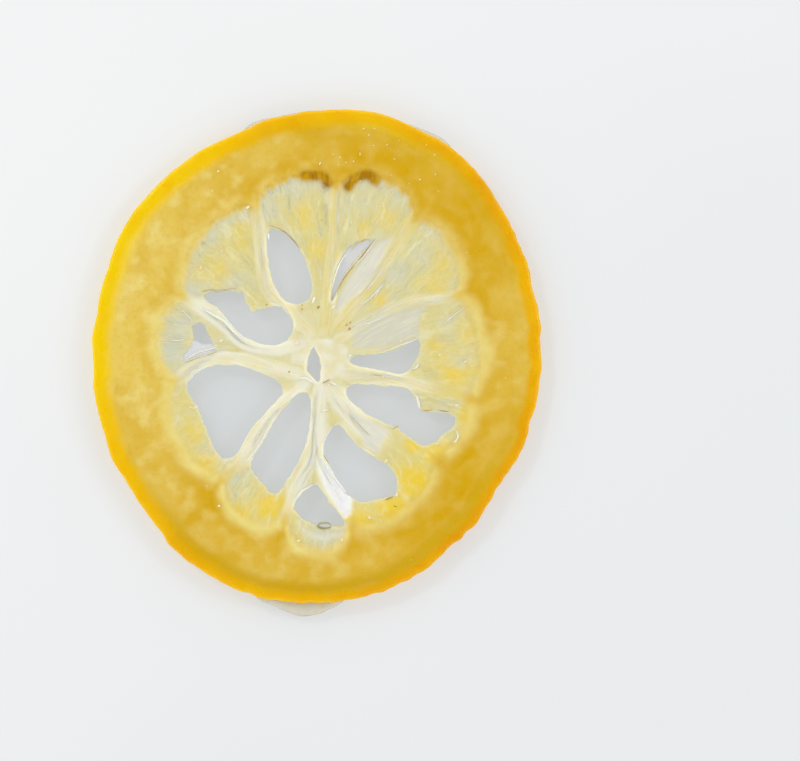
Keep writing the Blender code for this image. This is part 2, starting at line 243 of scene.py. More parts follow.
FLECKS = (
    (93.5, 7.1, 0.22), (109, 7.8, 0.12), (110, 7.3, 0.12), (50, 5.6, 0.22), (54, 6.3, 0.15),
    (56, 5.8, 0.14), (197, 4.4, 0.15), (90, 18.4, 0.09), (74, 13.4, 0.08), (134, 10.3, 0.1),
)

# Syrup that hangs on the rim: (degrees, how far it stands out from the rim).
SYRUP_LIPS = (
    ((252.5, 0.0), (255, 0.35), (258, 0.75), (261, 1.25), (264, 1.70), (266.5, 1.85), (269, 1.60),
     (271.5, 1.05), (274, 0.45), (276.5, 0.0)),
    ((76.0, 0.0), (80.0, 0.12), (88.0, 0.2), (97.0, 0.3), (102.0, 0.25), (105.0, 0.5), (107.0, 0.5),
     (110.0, 0.0)),
    ((57.5, 0.0), (60.0, 0.35), (63.0, 0.5), (66.0, 0.4), (70.0, 0.25), (74.0, 0.0)),
)

# Clear skins that close a gap, with the ground showing through: (height at the middle, outline).
CLEAR_SKINS = {
    "north_skin": (1.66, (
        (80, 7.0), (83, 9.7), (81, 12.9), (78, 15.2), (73, 17.2), (68, 18.3), (64, 18.2), (65, 16.5),
        (68, 14.2), (71.5, 11.1), (74, 8.8), (76, 6.9),
    )),
    "west_skin": (1.84, (
        (181, 18.6), (176, 18.6), (170.5, 17.1), (171.5, 15.4), (169.4, 13.7), (172.3, 12.6), (178.5, 15.1),
        (181.5, 17.4),
    )),
}

# A flat bubble in the syrup, drawn only as a dark ring of painted shade at its rim: (degrees, reach, half its
# width, half its height).
BUBBLE = (271, 21.2, 0.85, 0.36)

# Colours, as on a screen.
PITH_PALE = (236, 209, 104)
# The deep pith colour, used both for its fine grain and for painted shade.
PITH_GRAIN_AND_SHADE = (220, 175, 8)
PITH_CLOUD = (240, 219, 132)
PITH_AT_WALLS = (231, 207, 108)
HALO = (241, 228, 148)
GLOW = (250, 218, 66)
OLIVE = (212, 170, 0)
RIND_YELLOW = (253, 212, 0)
RIND_ORANGE = (228, 160, 0)
FLESH = (227, 217, 154)
FLESH_YELLOW = (243, 214, 72)
FLESH_CLEAR = (217, 219, 203)
SAC_SKIN = (238, 235, 204)
FLESH_SHADE = (206, 190, 104)
WALL_YELLOW = (232, 218, 150)
WALL_WHITE = (241, 238, 218)
# A painted highlight, for walls near the gaps and for streaks in the skins of flesh.
EDGE_HIGHLIGHT = (248, 244, 222)
FILM = (220, 216, 194)
FILM_WHITE = (252, 251, 246)
# Painted shadow at the ends of two segments, in two depths.
END_SHADOW = (204, 158, 0)
END_SHADOW_DEEP = (178, 128, 0)
# Painted shade at the outer edge of the syrup on the rim.
SYRUP_EDGE_SHADE = (176, 162, 116)
FLESH_AT_CORE = (234, 226, 178)
AMBER = (196, 146, 34)
NOTCH = (188, 164, 84)


def linear(colour):
    """A screen colour as the shader's linear one."""
    shares = [channel / 255 for channel in colour]
    made = [s / 12.92 if s <= 0.04045 else ((s + 0.055) / 1.055) ** 2.4 for s in shares]
    return (*made, 1.0)


# ---------------------------------------------------------------------------------------------- lines


def round_core(points):
    """Polar points round the core as x, y."""
    angle, reach = np.radians([p[0] for p in points]), np.array([p[1] for p in points], float)
    return CORE + np.stack([np.cos(angle), np.sin(angle)], axis=1) * reach[:, None]


def polar(points):
    """The direction of each point from the core, in degrees, and its distance."""
    east, north = (points - CORE).T
    return np.degrees(np.arctan2(north, east)), np.hypot(east, north)


def spaced_along(line, spacing, closed):
    """Points about one spacing apart along a polyline."""
    if closed:
        line = np.vstack([line, line[:1]])
    steps = np.linalg.norm(np.diff(line, axis=0), axis=1)
    travelled = np.concatenate([[0.0], np.cumsum(steps)])
    count = max(4, round(travelled[-1] / spacing))
    stops = np.linspace(0.0, travelled[-1], count + 1)
    if closed:
        stops = stops[:-1]
    return np.stack([np.interp(stops, travelled, line[:, k]) for k in range(line.shape[1])], axis=1)


def smooth_line(points, spacing, closed=False):
    """A Catmull-Rom curve through the points, read one spacing apart."""
    if closed:
        padded = np.vstack([points[-1:], points, points[:2]])
    else:
        padded = np.vstack([2 * points[:1] - points[1:2], points, 2 * points[-1:] - points[-2:-1]])
    fine = []
    for before, start, end, after in zip(padded, padded[1:], padded[2:], padded[3:]):
        for t in np.linspace(0.0, 1.0, 12, endpoint=False):
            square = (2 * before - 5 * start + 4 * end - after) * t**2
            cube = (3 * start - before - 3 * end + after) * t**3
            fine.append(0.5 * (2 * start + (end - before) * t + square + cube))
    if not closed:
        fine.append(points[-1])
    return spaced_along(np.array(fine), spacing, closed)


def ease(value):
    """0 at 0 and 1 at 1, level at both ends."""
    value = np.clip(value, 0.0, 1.0)
    return value * value * (3 - 2 * value)


def bell(distance, spread):
    """1 at no distance, falling away over the spread."""
    return np.exp(-((distance / spread) ** 2))


def bumps(points, size, seed, octaves=1):
    """Smooth noise about -1 to 1 at each point, with bumps of this size."""
    scaled = np.asarray(points, float)[:, :2] / size
    if octaves == 1:
        return np.array([noise.noise((x, y, seed)) for x, y in scaled])
    return np.array([noise.fractal((x, y, seed), 1.0, 2.0, octaves) for x, y in scaled])


def nearest(samples, points):
    """For each point, which sample is nearest and how far away it is."""
    tree = KDTree(len(samples))
    for i, (x, y) in enumerate(samples):
        tree.insert((x, y, 0.0), i)
    tree.balance()
    found = [tree.find((x, y, 0.0)) for x, y in points]
    return np.array([f[1] for f in found]), np.array([f[2] for f in found])


def inside(points, loops):
    """Whether each point is inside an odd number of the loops."""
    crossings = np.zeros(len(points), int)
    x, y = points[:, 0], points[:, 1]
    for loop in loops:
        for start, end in zip(loop, np.roll(loop, -1, axis=0)):
            if start[1] == end[1]:
                continue
            spans = (start[1] > y) != (end[1] > y)
            meets = start[0] + (y - start[1]) * (end[0] - start[0]) / (end[1] - start[1])
            crossings += spans & (meets > x)
    return crossings % 2 == 1


def away_from_solid(loop):
    """Unit normals to the right of the way the loop runs, which is out of the solid."""
    along = np.roll(loop, -1, axis=0) - np.roll(loop, 1, axis=0)
    along /= np.linalg.norm(along, axis=1)[:, None]
    return np.stack([along[:, 1], -along[:, 0]], axis=1)


def band(above, below):
    """Faces between two rings of as many points."""
    onward = [*range(1, len(above)), 0]
    return [(above[k], below[k], below[j], above[j]) for k, j in enumerate(onward)]


def linked(name, data):
    """A new object in the scene."""
    made = bpy.data.objects.new(name, data)
    bpy.context.scene.collection.objects.link(made)
    return made


def signed_area(loop):
    """The area inside a loop, which is above 0 where it runs anticlockwise."""
    x, y = loop[:, 0], loop[:, 1]
    return 0.5 * (np.dot(x, np.roll(y, -1)) - np.dot(y, np.roll(x, -1)))


def softened(loop, times):
    """A loop with its corners rounded off."""
    for _ in range(times):
        loop = (np.roll(loop, 1, axis=0) + 2 * loop + np.roll(loop, -1, axis=0)) / 4
    return loop


# ----------------------------------------------------------------------------------- the slice's plan

WALL_LINES = [smooth_line(round_core(wall.line), WALL_STEP) for wall in WALLS.values()]
WALL_SAMPLES = np.vstack(WALL_LINES)
WALL_NUMBER = np.concatenate([np.full(len(line), i) for i, line in enumerate(WALL_LINES)])
WALL_ALONG = np.concatenate([np.arange(len(line)) * WALL_STEP for line in WALL_LINES])
WALL_TANGENTS = np.vstack([np.gradient(line, axis=0) / WALL_STEP for line in WALL_LINES])
WALL_HALF_WIDTHS = np.array([wall.width / 2 for wall in WALLS.values()])[WALL_NUMBER]
WALL_TONES, WALL_FADES, WALL_LOSSES = np.array([(w.tone, w.fade, w.loss) for w in WALLS.values()]).T


def segment_edge(degrees):
    """The reach of the flesh in each direction, with the segment's number and the share across it."""
    notches = sorted((*wall.line[-1], wall.reach) for wall in WALLS.values())
    starts, depths, reaches = (np.array(column, float) for column in zip(*notches))
    at = (np.searchsorted(starts, degrees % 360, side="right") - 1) % len(starts)
    following = (at + 1) % len(starts)
    share = ((degrees - starts[at]) % 360) / ((starts[following] - starts[at]) % 360)
    swell = reaches[at] - (depths[at] + depths[following]) / 2
    edge = depths[at] + (depths[following] - depths[at]) * share
    return edge + swell * (1 - np.abs(2 * share - 1) ** 3), at, share


def cad_outlines():
    """The rim, anticlockwise, and the openings, clockwise, of the solid at half its thickness."""
    shape = bmesh.new()
    shape.from_mesh(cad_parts["lemon_slice"].data)
    bmesh.ops.remove_doubles(shape, verts=shape.verts, dist=1e-6)
    everything = shape.verts[:] + shape.edges[:] + shape.faces[:]
    middle = (0, 0, THICKNESS / 2 * MM)
    bmesh.ops.bisect_plane(
        shape, geom=everything, plane_co=middle, plane_no=(0, 0, 1), clear_outer=True, clear_inner=True
    )
    loops, seen = [], set()
    for start in shape.verts:
        if start in seen:
            continue
        loop, at = [], start
        while at is not None:
            seen.add(at)
            loop.append((at.co.x / MM, at.co.y / MM))
            onward = [edge.other_vert(at) for edge in at.link_edges]
            at = next((v for v in onward if v not in seen), None)
        loops.append(np.array(loop))
    shape.free()
    loops.sort(key=lambda loop: -abs(signed_area(loop)))
    turned = []
    for i, loop in enumerate(loops):
        anticlockwise = signed_area(loop) > 0
        turned.append(loop if anticlockwise == (i == 0) else loop[::-1])
    return turned


def wall_share(points):
    """1 on the middle line of a wall, falling to 0 a wall's width away."""
    which, gap = nearest(WALL_SAMPLES, points)
    return ease(1.6 - gap / WALL_HALF_WIDTHS[which])


def ragged_outlines():
    """The outlines with the small waves of the rind and the torn edges of the flesh."""
    made = []
    for i, loop in enumerate(cad_outlines()):
        loop = softened(spaced_along(loop, RIM_SPACING, closed=True), 5)
        loop = spaced_along(loop, RIM_SPACING if i == 0 else OPENING_SPACING, closed=True)
        if i == 0:
            towards_corner = ease(0.5 + (loop[:, 0] - loop[:, 1]) / 60)
            waves = 0.20 * bumps(loop, 1.5, 3.0) * (0.25 + towards_corner)
            waves += 0.10 * bumps(loop, 3.2, 5.0) - 0.05
            waves += np.interp(polar(loop)[0], *np.array(RIM_SWELLS).T, period=360)
        else:
            torn = 1 - 0.8 * wall_share(loop)
            waves = (0.16 * bumps(loop, 0.75, 11.0, 3) + 0.10 * bumps(loop, 1.7, 12.0)) * torn
            for degrees, reach, spread, *pull in TORN_PULLS:
                gap = np.linalg.norm(loop - round_core(((degrees, reach),)), axis=1)
                loop = loop + bell(gap, spread)[:, None] * np.array(pull)
        made.append(loop + away_from_solid(loop) * waves[:, None])
    return made


def grid(spacing, seed):
    """A triangular grid over the whole slice, with each point a little out of line."""
    draw = np.random.default_rng(seed)
    rows = int(LENGTH / spacing / math.sqrt(0.75)) + 2
    columns = int(LENGTH / spacing) + 2
    row, column = np.mgrid[0:rows, 0:columns]
    x = (column + 0.5 * (row % 2)) * spacing - LENGTH / 2
    y = row * spacing * math.sqrt(0.75) - LENGTH / 2
    points = np.stack([x.ravel(), y.ravel()], axis=1)
    return points + draw.uniform(-0.16, 0.16, points.shape) * spacing


def flesh_depth(points):
    """How far inside the edge of the flesh each point is, with its segment and the share across."""
    degrees, reach = polar(points)
    edge, segment, share = segment_edge(degrees)
    return edge - reach, reach, segment, share


def triangulated(edges, fillers, clearance):
    """The plan between the edge loops: its points, its triangles and where each loop's points went."""
    placed = [np.vstack(edges)]
    border = np.vstack(edges)
    for points in fillers:
        points = points[inside(points, edges)]
        _, gap = nearest(border, points)
        placed.append(points[gap > clearance])
    placed = np.vstack(placed)
    constraints, first = [], 0
    for loop in edges:
        constraints += [(first + i, first + (i + 1) % len(loop)) for i in range(len(loop))]
        first += len(loop)
    inside_rim = 1
    made = delaunay_2d_cdt([tuple(p) for p in placed], constraints, [], inside_rim, 1e-7)
    plan = np.array([tuple(p) for p in made[0]])
    triangles = np.array([corners for corners in made[2] if len(corners) == 3])
    triangles = triangles[inside(plan[triangles].mean(axis=1), edges)]
    place = {source: i for i, sources in enumerate(made[3]) for source in sources}
    return plan, triangles, place


# --------------------------------------------------------------------------------------- the surface


def film_share(points):
    """1 well inside a skin of flesh and 0 outside, with how white the skin is."""
    most, tone = np.zeros(len(points)), np.zeros(len(points))
    for whiteness, outline in FILMS.values():
        loop = smooth_line(round_core(outline), 0.15, closed=True)
        _, gap = nearest(loop, points)
        share = np.where(inside(points, [loop]), ease(gap / 0.9), 0.0)
        tone = np.where(share > most, whiteness, tone)
        most = np.maximum(most, share)
    return most, tone


def patches(points, table):
    """Soft round patches round the core, the strongest at each point."""
    centres = round_core(table)
    most = np.zeros(len(points))
    for (_, _, spread, strength), centre in zip(table, centres):
        gap = np.linalg.norm(points - centre, axis=1)
        most = np.maximum(most, strength * bell(gap, spread))
    return most


def near_lines(points, lines, spread):
    """1 on any of the lines, falling away over the spread."""
    samples = np.vstack([smooth_line(round_core(line), 0.1) for line in lines])
    return bell(nearest(samples, points)[1], spread)


def sac_pattern(share, segment, reach):
    """Long juice sacs that fan out from the core: nearness to a sac's middle and to its skin."""
    middles, skins = np.zeros(len(share)), np.zeros(len(share))
    across = (share - 0.5) * SACS_ACROSS
    for i in range(len(share)):
        bend = 0.9 * noise.noise((across[i] / 1.5, reach[i] / 2.2, segment[i] + 3.1))
        place = (across[i] + bend, (reach[i] + 1.5 * bend) / 2.9, segment[i] * 5.7)
        distances, _ = noise.voronoi(Vector(place))
        middles[i] = distances[0]
        skins[i] = distances[1] - distances[0]
    return 1 - np.clip(middles, 0, 1), np.exp(-skins / 0.12)


def by_direction(degrees, column):
    """A column of RIM_LOOK in each direction."""
    return np.interp(degrees, RIM_LOOK[:, 0], RIM_LOOK[:, RIM_COLUMNS.index(column)], period=360)


def wall_fields(points, f):
    """The walls and the core: where they are, how white, and how they turn into pith."""
    which, wall_gap = nearest(WALL_SAMPLES, points)
    spread = (1 + 0.25 * bumps(points, 2.0, 23.0)) * (1 + 0.55 * np.exp(-f["gap"] / 0.5))
    wall = ease(1.55 - wall_gap / (WALL_HALF_WIDTHS[which] * spread))
    core = ease((4.3 + 1.5 * bumps(points, 2.0, 24.0, 2) - f["reach"]) / 1.6)
    f["wall"], f["core"] = np.maximum(wall, core), core
    number = WALL_NUMBER[which]
    f["wall_tone"] = WALL_TONES[number] * (1 - core) + 0.75 * core
    f["wall_end"] = ease((f["reach"] - WALL_FADES[number] + 2.5) / 5.0)
    f["wall_colour"] = f["wall"] * (1 - WALL_LOSSES[number] * f["wall_end"])
    f["near_core"] = ease((10.5 + 1.5 * bumps(points, 1.8, 30.0) - f["reach"]) / 5.0)
    tangent, offset = WALL_TANGENTS[which], points - WALL_SAMPLES[which]
    f["wall_side"] = tangent[:, 0] * offset[:, 1] - tangent[:, 1] * offset[:, 0]
    f["wall_along"] = WALL_ALONG[which] + 40.0 * number


def flesh_fields(points, f):
    """What is left of the flesh: its skins, sacs, yellow juice, clear places and painted shadows at two
    segments' ends.
    """
    film, f["film_tone"] = film_share(points)
    f["film"] = film * f["flesh"]
    f["open_flesh"] = f["flesh"] * (1 - f["wall"]) * (1 - f["film"])
    middle, skin = sac_pattern(f["share"], f["segment"], f["reach"])
    f["sac"], f["sac_skin"] = middle * f["open_flesh"], skin * f["open_flesh"]
    f["yellow"] = patches(points, YELLOW_PATCHES)
    f["clear"] = patches(points, CLEAR_PATCHES)
    ragged = 1.5 + 0.4 * bumps(points, 1.1, 25.0)
    # Painted shadow along the outer ends of two segments.
    f["end_shadow"] = np.clip(near_lines(points, END_SHADOW_ARCS, 0.62) * ragged, 0, 1)


def margin_fields(points, f, degrees, paleness):
    """Where flesh meets pith: a pale halo, or a clear margin with a thin amber line, and some shade."""
    inward, beside_walls = f["inward"], 1 - f["wall"]
    spread = np.where(inward < 0, 1.2, 0.75) * (1 + 0.45 * bumps(points, 3.0, 28.0))
    halo = bell(inward, spread) * paleness * (0.9 + 0.4 * bumps(points, 2.2, 29.0))
    from_lower_right = (degrees + 235) % 360 - 180
    quiet = 1 - 0.35 * bell(from_lower_right, 28)
    f["halo"] = np.clip(halo * (1 - 0.6 * f["wall"]) * quiet, 0, 1)
    f["margin"] = bell(inward - 0.9, 0.8) * (1 - paleness) * beside_walls
    f["amber"] = bell(inward + 0.15, 0.28) * (1 - paleness) * beside_walls
    f["amber"] *= np.clip(0.7 + 0.9 * bumps(points, 1.0, 36.0, 2), 0, 1)
    f["margin_open"] = np.clip(1 - 1.3 * f["yellow"], 0, 1) * ease((f["reach"] - 9.0) / 5.0)
    f["shadow"] = bell(inward + 1.6, 0.9) * beside_walls


def rim_fields(points, f, degrees):
    """The rind and the pith just inside it, by direction."""
    rim_gap, width = f["rim_gap"], by_direction(degrees, "rind_width")
    past_upper_left = (degrees - 120) % 360
    crisp = 0.5 + 0.28 * bell(past_upper_left - 60, 90)
    waver = 0.25 * bumps(points, 2.4, 26.0)
    f["rind"] = 1 - ease((rim_gap + waver - width * 0.70) / (width * crisp))
    mottled = 0.18 * bumps(points, 4.0, 27.0, 2)
    f["rind_yellow"] = np.clip(by_direction(degrees, "rind_yellow") + mottled, 0, 1)
    f["glow"] = by_direction(degrees, "glow") * bell(rim_gap - 1.7, 0.85)
    f["olive"] = by_direction(degrees, "olive") * bell(rim_gap - 1.9, 0.95)
    f["pith_shade"] = by_direction(degrees, "pith_shade")
    f["inner_line"] = bell(rim_gap + waver - 3.0, 0.32) * f["pith_shade"]


def surface_fields(points, outlines):
    """Everything about the plan that shapes and colours the slice: fields by name, point by point."""
    f = {}
    inward, f["reach"], f["segment"], f["share"] = flesh_depth(points)
    degrees, _ = polar(points)
    paleness = by_direction(degrees, "paleness")
    across = np.column_stack([f["share"] * SACS_ACROSS + SEGMENT_STEP * f["segment"], f["reach"] / 6.0])
    serrated = 0.55 * bumps(across, 0.42, 22.0, 2) * (1.15 - paleness)
    f["inward"] = inward + 0.22 * bumps(points, 1.1, 21.0, 2) + serrated
    f["flesh"] = ease((f["inward"] + 0.3 * paleness + 0.1) / (0.7 + 1.1 * paleness))
    _, f["rim_gap"] = nearest(spaced_along(outlines[0], 0.15, True), points)
    _, f["gap"] = nearest(np.vstack(outlines[1:]), points)
    wall_fields(points, f)
    flesh_fields(points, f)
    margin_fields(points, f, degrees, paleness)
    rim_fields(points, f, degrees)
    return f


def upper_sink(points, f):
    """How far the upper face lies below a flat cut, in millimetres."""
    coarse, fine = bumps(points, 4.5, 31.0), bumps(points, 0.8, 32.0, 3)
    pith = 0.05 + 0.05 * coarse + 0.018 * fine
    torn = np.exp(-f["gap"] / 0.8)
    flesh = 0.46 + 0.12 * bumps(points, 1.9, 33.0, 2) - 0.16 * f["sac"] - 0.09 * f["sac_skin"]
    flesh += 0.30 * torn + 0.10 * f["clear"] + 0.035 * fine
    rounded = 1 - np.clip(np.abs(f["wall_side"]) / 1.4, 0, 1) ** 2
    wall = 0.20 + 0.07 * coarse + 0.10 * (1 - rounded)
    film = 0.36 + 0.40 * np.exp(-f["gap"] / 1.6) + 0.03 * bumps(points, 1.2, 35.0)
    inner = flesh + (wall - flesh) * f["wall"]
    inner = inner + (film - inner) * f["film"]
    sink = pith + (inner - pith) * f["flesh"]
    # The face sinks a little where the end shadows are painted.
    return sink - 0.05 * bell(f["inward"] + 0.25, 0.4) + 0.06 * f["end_shadow"]


def upper_level(points, f):
    """The height of the upper face at each point."""
    return THICKNESS - WEDGE * points[:, 1] / (LENGTH / 2) - upper_sink(points, f)


def lower_sink(points, f):
    """How far the lower face lies above the flat underside, in millimetres."""
    flesh = 0.42 + 0.10 * bumps(points, 1.9, 43.0, 2) - 0.10 * f["sac"] - 0.05 * f["sac_skin"]
    flesh += 0.10 * np.exp(-f["gap"] / 0.8)
    inner = flesh + (0.16 - flesh) * np.maximum(f["wall"], 0.4 * f["film"])
    pith = 0.02 * (1 + bumps(points, 1.0, 44.0))
    return pith + (inner - pith) * f["flesh"]


def gland_depth(points, height):
    """The depth of the oil glands' pits in the side of the rind."""
    sunk = []
    for x, y in points:
        distances, _ = noise.voronoi(Vector((x, y, height)) / OIL_GLAND)
        sunk.append(GLAND_DEPTH * math.exp(-((distances[0] / 0.3) ** 2)))
    return np.array(sunk)


EASE_STEPS = np.radians((30, 60, 90))
SIDE_ROWS = [(k + 1) / (RIM_ROWS + 1) for k in range(RIM_ROWS)]


def rows_between(outlines, edges):
    """Plans of the rows of points between the faces: round the eased edges and down the rind's side."""
    plans = []
    for i, (loop, edge) in enumerate(zip(outlines, edges)):
        plans += [edge + (loop - edge) * math.sin(step) for step in EASE_STEPS]
        if i == 0:
            out = away_from_solid(loop)
            plans += [loop - out * gland_depth(loop, THICKNESS * row)[:, None] for row in SIDE_ROWS]
    return plans


def levels_between(first_plan, edge_top, edge_bottom, inset, has_side):
    """The same rows from the upper edge to the lower one: where each starts in the plan, its heights."""
    count = len(edge_top)
    drop = np.minimum(inset, (edge_top - edge_bottom) / 2 * 0.92)
    rounding = [(first_plan + count * k, drop * (1 - math.cos(step))) for k, step in enumerate(EASE_STEPS)]
    levels = [(plan, edge_top - fall) for plan, fall in rounding]
    if has_side:
        high, low = edge_top - drop, edge_bottom + drop
        for k, row in enumerate(SIDE_ROWS[::-1]):
            plan = first_plan + count * (len(EASE_STEPS) + RIM_ROWS - 1 - k)
            levels.append((plan, low + (high - low) * row))
    return levels + [(plan, edge_bottom + fall) for plan, fall in rounding[::-1]]


def build_slice():
    """The slice as one closed mesh, with the fields that its colours need as attributes."""
    outlines = ragged_outlines()
    eases = [RIM_EASE] + [OPENING_EASE] * (len(outlines) - 1)
    edges = [loop - away_from_solid(loop) * inset for loop, inset in zip(outlines, eases)]
    flesh_grid, pith_grid = grid(FLESH_SPACING, 1), grid(PITH_SPACING, 2)
    flesh_grid = flesh_grid[flesh_depth(flesh_grid)[0] > -0.6]
    pith_grid = pith_grid[flesh_depth(pith_grid)[0] < -0.8]
    upper = triangulated(edges, [flesh_grid, pith_grid], 0.14)
    lower = triangulated(edges, [grid(UNDERSIDE_SPACING, 3)], 0.3)

    everywhere = np.vstack([upper[0], lower[0]] + rows_between(outlines, edges))
    f = surface_fields(everywhere, outlines)
    top, bottom = upper_level(everywhere, f), lower_sink(everywhere, f)

    # Each point of the mesh has its source in the plan and its own height.
    first_lower = len(upper[0])
    first_side = first_lower + len(lower[0])
    source = list(range(first_lower)) + list(range(first_lower, first_side))
    heights = list(top[:first_lower]) + list(bottom[first_lower:first_side])
    faces = [tuple(t) for t in upper[1]] + [tuple(first_lower + c for c in t[::-1]) for t in lower[1]]

    first_corner, first_plan = 0, first_side
    for i, (loop, inset) in enumerate(zip(outlines, eases)):
        count = len(loop)
        rings = [[upper[2][first_corner + k] for k in range(count)]]
        edge_top = top[rings[0]]
        edge_bottom = bottom[[first_lower + lower[2][first_corner + k] for k in range(count)]]
        for plan, level in levels_between(first_plan, edge_top, edge_bottom, inset, i == 0):
            rings.append([len(source) + k for k in range(count)])
            source += range(plan, plan + count)
            heights += list(level)
        rings.append([first_lower + lower[2][first_corner + k] for k in range(count)])
        for above, below in zip(rings, rings[1:]):
            faces += band(above, below)
        first_corner += count
        first_plan += count * (len(EASE_STEPS) + (RIM_ROWS if i == 0 else 0))

    source = np.array(source)
    places = np.column_stack([everywhere[source], heights]) * MM
    mesh = bpy.data.meshes.new("lemon_round")
    mesh.from_pydata(places.tolist(), [], faces)
    mesh.update()
    upper_face = np.zeros(len(source))
    upper_face[:first_lower] = 1.0
    write_fields(mesh, {name: values[source] for name, values in f.items()}, upper_face)
    mesh.shade_smooth()
    return linked("lemon_round", mesh), outlines


SHADER_FIELDS = (
    "flesh", "film", "film_tone", "wall_tone", "wall_end", "sac_skin", "yellow", "clear", "end_shadow", "halo",
    "margin", "shadow", "amber", "margin_open", "open_flesh", "near_core", "core", "inner_line", "rind",
    "rind_yellow", "glow", "olive", "pith_shade",
)


def store(mesh, name, kind, values):
    """An attribute of the mesh's points."""
    layer = mesh.attributes.new(name, kind, "POINT")
    key = "value" if kind == "FLOAT" else "vector"
    layer.data.foreach_set(key, np.asarray(values, np.float32).ravel())


def write_fields(mesh, f, upper_face):
    """Stores what the shader reads, point by point."""
    shares = {name: f[name] for name in SHADER_FIELDS}
    shares["wall"] = f["wall_colour"] * f["flesh"]
    shares["edge_gap"] = np.clip(f["gap"] / 2.0, 0, 1)
    shares["upper_face"] = upper_face
    for name, values in shares.items():
        store(mesh, name, "FLOAT", values)
    across = (f["share"] - 0.5) * SACS_ACROSS + f["segment"] * SEGMENT_STEP
    store(mesh, "fan", "FLOAT_VECTOR", np.column_stack([across, f["reach"], f["segment"]]))
    sideways = [f["wall_side"], f["wall_along"], np.zeros(len(across))]
    store(mesh, "along_wall", "FLOAT_VECTOR", np.column_stack(sideways))


# ------------------------------------------------------------------------- strands, beads and syrup


def upper_height(points):
    """The height of the finished slice's upper face at each point."""
    return upper_level(points, surface_fields(points, rim_and_openings))


def new_tree(name, inputs):
    """A Geometry Nodes tree with named inputs, its Group Input and its Group Output."""
    tree = bpy.data.node_groups.new(name, "GeometryNodeTree")
    tree.interface.new_socket("Geometry", in_out="INPUT", socket_type="NodeSocketGeometry")
    for label, kind, value in inputs:
        socket = tree.interface.new_socket(label, in_out="INPUT", socket_type=kind)
        if value is not None:
            socket.default_value = value
    tree.interface.new_socket("Geometry", in_out="OUTPUT", socket_type="NodeSocketGeometry")
    return tree, tree.nodes.new("NodeGroupInput"), tree.nodes.new("NodeGroupOutput")


def attribute_node(tree, name, kind):
    """What is stored at each point under a name, as a socket."""
    return add(tree, "GeometryNodeInputNamedAttribute", {"Name": name}, data_type=kind).outputs["Attribute"]


def ending(tree, geometry, given, out):
    """Realize Instances, smooth shading and Set Material, at the end of every tree."""
    real = add(tree, "GeometryNodeRealizeInstances", {"Geometry": geometry}).outputs[0]
    smooth = add(tree, "GeometryNodeSetShadeSmooth", {"Geometry": real}).outputs[0]
    sockets = {"Geometry": smooth, "Material": given.outputs["Material"]}
    tree.links.new(add(tree, "GeometryNodeSetMaterial", sockets).outputs[0], out.inputs["Geometry"])


def strand_tree():
    """A round strand along each polyline, as thick as the thickness stored at its points."""
    inputs = (("Sides", "NodeSocketInt", 6), ("Material", "NodeSocketMaterial", None))
    tree, given, out = new_tree("strands_along_lines", inputs)
    lines = add(tree, "GeometryNodeMeshToCurve", {"Mesh": given.outputs["Geometry"]}).outputs[0]
    profile = {"Resolution": given.outputs["Sides"], "Radius": 1.0}
    profile = add(tree, "GeometryNodeCurvePrimitiveCircle", profile).outputs["Curve"]
    sockets = {
        "Curve": lines,
        "Profile Curve": profile,
        "Scale": attribute_node(tree, "thickness", "FLOAT"),
        "Fill Caps": True,
    }
    ending(tree, add(tree, "GeometryNodeCurveToMesh", sockets).outputs[0], given, out)
    return tree


def beads_at(tree, points, rotation, radii, segments, rings):
    """Balls at points, turned and stretched."""
    ball = {"Segments": segments, "Rings": rings, "Radius": 1.0}
    ball = add(tree, "GeometryNodeMeshUVSphere", ball).outputs["Mesh"]
    sockets = {"Points": points, "Instance": ball, "Rotation": rotation, "Scale": radii}
    return add(tree, "GeometryNodeInstanceOnPoints", sockets).outputs[0]


def bead_tree():
    """A flat bead on each point, of the radii and the turn stored there."""
    inputs = (
        ("Segments", "NodeSocketInt", 8),
        ("Rings", "NodeSocketInt", 5),
        ("Material", "NodeSocketMaterial", None),
    )
    tree, given, out = new_tree("beads_on_points", inputs)
    points = add(tree, "GeometryNodeMeshToPoints", {"Mesh": given.outputs["Geometry"]}).outputs[0]
    turn, radii = (attribute_node(tree, name, "FLOAT_VECTOR") for name in ("turn", "radii"))
    segments, rings = given.outputs["Segments"], given.outputs["Rings"]
    ending(tree, beads_at(tree, points, turn, radii, segments, rings), given, out)
    return tree


def scatter_tree():
    """Small beads strewn over a surface, as thick as its own bead_share says."""
    inputs = (
        ("Beads per square metre", "NodeSocketFloat", 7.0e5),
        ("Smallest radius", "NodeSocketFloat", 0.05 * MM),
        ("Largest radius", "NodeSocketFloat", 0.12 * MM),
        ("Seed", "NodeSocketInt", 7),
        ("Material", "NodeSocketMaterial", None),
    )
    tree, given, out = new_tree("beads_over_surface", inputs)
    share = attribute_node(tree, "bead_share", "FLOAT")
    density = maths(tree, "MULTIPLY", share, given.outputs["Beads per square metre"])
    sockets = {"Mesh": given.outputs["Geometry"], "Density": density, "Seed": given.outputs["Seed"]}
    strewn = add(tree, "GeometryNodeDistributePointsOnFaces", sockets)
    radius = add(tree, "FunctionNodeRandomValue", data_type="FLOAT")
    for index, socket in ((2, "Smallest radius"), (3, "Largest radius"), (8, "Seed")):
        tree.links.new(given.outputs[socket], radius.inputs[index])
    radius = radius.outputs[1]
    flat = maths(tree, "MULTIPLY", radius, 0.45)
    radii = add(tree, "ShaderNodeCombineXYZ", {"X": radius, "Y": radius, "Z": flat}).outputs[0]
    scattered = beads_at(tree, strewn.outputs["Points"], strewn.outputs["Rotation"], radii, 6, 4)
    ending(tree, scattered, given, out)
    return tree


